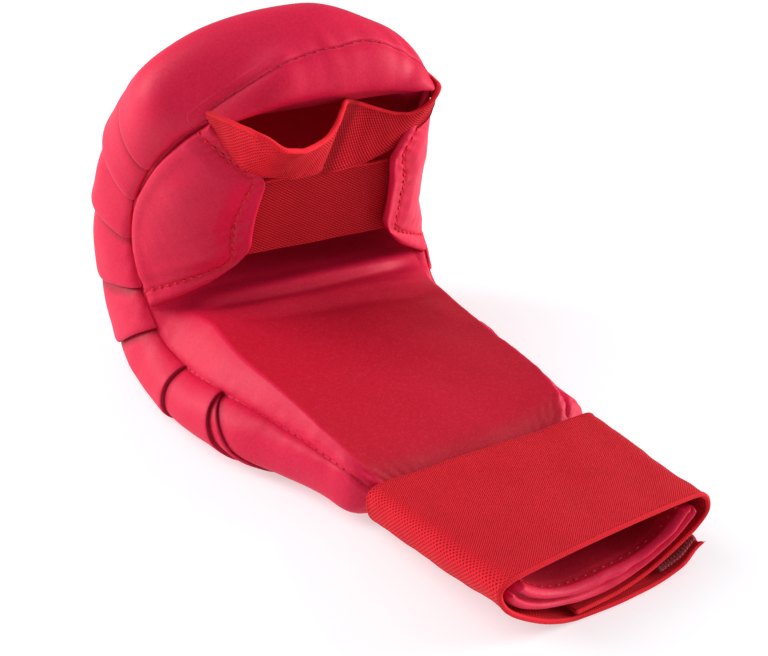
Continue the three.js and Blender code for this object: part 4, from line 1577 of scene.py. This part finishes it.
@dataclass
class PalmElastic:
    """The elastic stretched between the cheeks over the palm; y and z of its edges, in mm."""

    half: float = 30.2
    low: tuple[float, float] = (172.4, 54.2)
    high: tuple[float, float] = (163.4, 86.8)
    taper: float = 0.88
    thick: float = 1.6
    bead: float = 0.1
    weave_width: float = 33.8
    steps: tuple[int, int] = (130, 60)

    def surface(self) -> Surface:
        """The elastic as a ruled sheet, narrower at the top."""
        share, up = np.meshgrid(np.linspace(0, 1, self.steps[0]), spread(self.steps[1], 0.5),
                                indexing="ij")
        x = mix(-self.half, self.half, share) * mix(1.0, self.taper, up)
        y, z = (mix(low, high, up) for low, high in zip(self.low, self.high))
        middle = slanted(np.stack([x, y, z], -1))
        middle = raised(middle, 0.18 * ripples(middle, 22.0, 61))
        height = float(np.hypot(self.high[0] - self.low[0], self.high[1] - self.low[1]))
        none = np.zeros_like(up)
        return woven(middle, self.thick, height, {"stretch": none, "relief": none}, self.bead)


@dataclass
class HookPatch:
    """Hook tape on the inner face of the wrist elastic's free end; sizes are in mm."""

    strap: WristStrap
    span: tuple[float, float] = (0.895, 0.985)
    thick: float = 1.1
    lift: float = 2.05
    inset: float = 2.0
    steps: tuple[int, int] = (60, 90)

    def surface(self) -> Surface:
        """The tape: the elastic's own surface, raised off it."""
        rows = len(WRIST_ROUND) - 1
        margin = self.inset / self.strap.width
        around, back = np.meshgrid(
            np.linspace(self.span[0] * rows, self.span[1] * rows, self.steps[0]),
            np.linspace(margin, 1 - margin, self.steps[1]), indexing="ij")
        middle = self.strap.middle(around, back)
        middle[..., 2] += self.lift
        width = self.strap.width - 2 * self.inset
        return woven(middle, self.thick, width, {"relief": np.zeros_like(back)}, 0.0)


# ---------------------------------------------------------------- studio


@dataclass(frozen=True)
class SoftBox:
    """A square soft box: its place, aim and side in metres, its power in watts and its colour."""

    name: str
    place: Place
    aim: Place
    size: float
    power: float
    colour: Colour

    def hang(self) -> None:
        """Makes the lamp, which looks from its place at its aim."""
        data = bpy.data.lights.new(self.name, "AREA")
        data.shape, data.size = "SQUARE", self.size
        data.energy, data.color = self.power, self.colour
        back = np.array(self.place, float) - np.array(self.aim, float)
        back /= np.linalg.norm(back)
        right = np.cross([0.0, 0.0, 1.0], back)
        right /= np.linalg.norm(right)
        stand(self.name, data, right, np.cross(back, right), back, self.place)


def stand(name: str, data: bpy.types.ID, right: np.ndarray, up: np.ndarray, back: np.ndarray,
          place: Place | np.ndarray) -> bpy.types.Object:
    """Puts a lamp or camera into the scene.

    Args:
        name: Its name.
        data: The lamp or camera.
        right: Its x axis.
        up: Its y axis.
        back: Its z axis, away from what it looks at.
        place: Where it stands, in metres.

    Returns:
        The object.
    """
    matrix = np.eye(4)
    matrix[:3] = np.stack([right, up, back, place], -1)
    thing = bpy.data.objects.new(name, data)
    thing.matrix_world = Matrix(matrix.tolist())
    bpy.context.scene.collection.objects.link(thing)
    return thing


@dataclass
class Studio:
    """Camera, lights and floor. The eye is in mm in the mitt's layout, and angles in degrees."""

    azimuth: float = 33.08
    elevation: float = 30.05
    focal_px: float = 1299.7
    picture_px: float = 768.0
    sensor_mm: float = 36.0
    eye: Place = (-221.70, -215.92, 273.82)
    room_colour: Colour = (0.98, 0.99, 1.0)
    room_strength: float = 0.37
    floor_half: float = 6.0
    boxes: tuple[SoftBox, ...] = (
        SoftBox("box_left", (-1.05, 0.95, 0.64), (0, 0, 0.05), 0.75, 19.0, (1.0, 0.98, 0.99)),
        SoftBox("box_right", (1.15, -0.52, 0.42), (0, 0, 0.05), 0.75, 20.0, (1.0, 0.99, 1.0)),
        SoftBox("box_top", (-0.62, 0.32, 1.16), (0, 0, 0.0), 0.8, 5.6, (1.0, 1.0, 1.0)),
    )

    def camera(self) -> None:
        """The camera: it looks along -(out), with right and up square to that."""
        a, e = np.radians(self.azimuth), np.radians(self.elevation)
        out = np.array([-np.sin(a) * np.cos(e), -np.cos(a) * np.cos(e), np.sin(e)])
        right = np.array([np.cos(a), -np.sin(a), 0.0])
        data = bpy.data.cameras.new("camera")
        data.sensor_width = self.sensor_mm
        data.lens = self.focal_px * self.sensor_mm / self.picture_px
        data.clip_start, data.clip_end = 0.01, 20.0
        eye = (np.array(self.eye) + LAYOUT_TO_PART) * MM
        bpy.context.scene.camera = stand("camera", data, right, np.cross(out, right), out, eye)

    def room(self) -> None:
        """The white room and its floor."""
        world = bpy.data.worlds.new("white_room")
        world.use_nodes = True
        light = world.node_tree.nodes["Background"].inputs
        light["Color"].default_value = (*self.room_colour, 1.0)
        light["Strength"].default_value = self.room_strength
        bpy.context.scene.world = world
        mesh = bpy.data.meshes.new("floor")
        corners = [(x * self.floor_half, y * self.floor_half, 0)
                   for x, y in ((-1, -1), (1, -1), (1, 1), (-1, 1))]
        mesh.from_pydata(corners, [], [(0, 1, 2, 3)])
        floor = bpy.data.objects.new("floor", mesh)
        floor.data.materials.append(PaleFloor().material())
        bpy.context.scene.collection.objects.link(floor)

    def build(self) -> None:
        """Sets up the camera, the soft boxes at both sides and above, the room and its floor."""
        self.camera()
        for box in self.boxes:
            box.hang()
        bpy.context.scene.view_settings.view_transform = "Standard"
        self.room()


# ---------------------------------------------------------------- the mitt

SEAM_STITCH = Stitching(pitch=3.6, length=1.8, radius=0.25, lift=0.17, dip=0.36)
CHEEK_STITCH = Stitching(pitch=3.6, length=2.3, radius=0.38, lift=0.45, dip=0.75)
SEAM_STITCHED = (66.0, 172.0)   # mm from the wrist end, where the side seams show stitches
CHEEKS = {
    "cheek_left": Cheek(-1, (27.5, 169.5, 52.5), (24.5, 158.5, 89.0), 1.6, 0.4, 7.0),
    "cheek_right": Cheek(1, (24.5, 169.5, 53.0), (22.5, 158.5, 89.0), 0.3, 1.0, 6.2),
}


@dataclass
class Mitt:
    """All pieces of the mitt, each built, dressed and tied to the frame."""

    leatherette: bpy.types.Material = field(default_factory=lambda: Leatherette().material())
    bright_thread: bpy.types.Material = field(default_factory=lambda: Thread(
        "bright_thread", (0.88, 0.030, 0.034), (0.52, 0.008, 0.014)).material())
    dark_thread: bpy.types.Material = field(default_factory=lambda: Thread(
        "dark_thread", (0.58, 0.035, 0.075), (0.20, 0.004, 0.014)).material())

    def place(self, name: str, surface: Surface, material: bpy.types.Material, slot: str,
              replaces: str | None = None) -> bpy.types.Object:
        """Makes a piece, dresses it and ties it to the one body.

        Args:
            name: The piece's name.
            surface: Its surface.
            material: Its finish.
            slot: Name of a material slot; not used.
            replaces: The solid that it stands for.

        Returns:
            The object.
        """
        thing = make_object(name, surface)
        thing.data.materials.append(material)
        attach(thing, "root")
        if replaces:
            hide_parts(replaces)
        log.info("%s: %d faces", name, len(thing.data.polygons))
        return thing

    def sew(self, name: str, rows: list[tuple[np.ndarray, np.ndarray]], stitching: Stitching,
            material: bpy.types.Material) -> None:
        """Sews rows of stitches as one piece.

        Args:
            name: The piece's name.
            rows: Lines with their outward directions.
            stitching: The stitch that is used.
            material: The thread's finish.
        """
        first, *others = (stitching.surface(*row, seed) for seed, row in enumerate(rows))
        for other in others:
            first = first.joined(other)
        self.place(name, first, material, "leatherette")

    def body(self) -> None:
        """The padding with its seams."""
        body = PaddedBody()
        padding = self.place("padding", body.surface(), self.leatherette, "leatherette",
                             "padded_body")
        self.sew("seam_stitches", [
            body.side_seam(-1, *SEAM_STITCHED), body.side_seam(1, *SEAM_STITCHED),
            body.tip_seam(), body.tongue_row(),
        ], SEAM_STITCH, self.dark_thread)

    def cheeks(self) -> None:
        """Both side cheeks with their stitch rows."""
        rows = []
        for name, cheek in CHEEKS.items():
            surface, line, up = cheek.surfaces()
            pad = self.place(name + "_pad", surface, self.leatherette, "leatherette", name)
            rows.append((line, up))
        self.sew("cheek_stitches", rows, CHEEK_STITCH, self.bright_thread)

    def elastics(self) -> None:
        """The palm elastic, the finger strap, the wrist elastic and its hook tape."""
        palm, fingers, wrist = PalmElastic(), FingerStrap(), WristStrap()
        hook = HookPatch(wrist)

        finish = Elastic(Weave.TWILL, palm.weave_width).material()
        made = self.place("palm_band", palm.surface(), finish, "elastic", "palm_elastic")

        finish = Elastic(Weave.STRAP, fingers.weave_width, bright=(0.84, 0.012, 0.030)).material()
        made = self.place("finger_loops", fingers.surface(), finish, "elastic", "finger_strap")

        finish = Elastic(Weave.BAND, wrist.width).material()
        made = self.place("wrist_band", wrist.surface(), finish, "elastic", "wrist_strap")

        made = self.place("hook_tape", hook.surface(), HookTape().material(), "hook", "hook_patch")


def main() -> None:
    """Builds the studio and the mitt."""
    logging.basicConfig(level=logging.INFO, format="%(name)s: %(message)s")
    Studio().build()
    mitt = Mitt()
    mitt.body()
    mitt.cheeks()
    mitt.elastics()


if __name__ == "__main__":
    main()
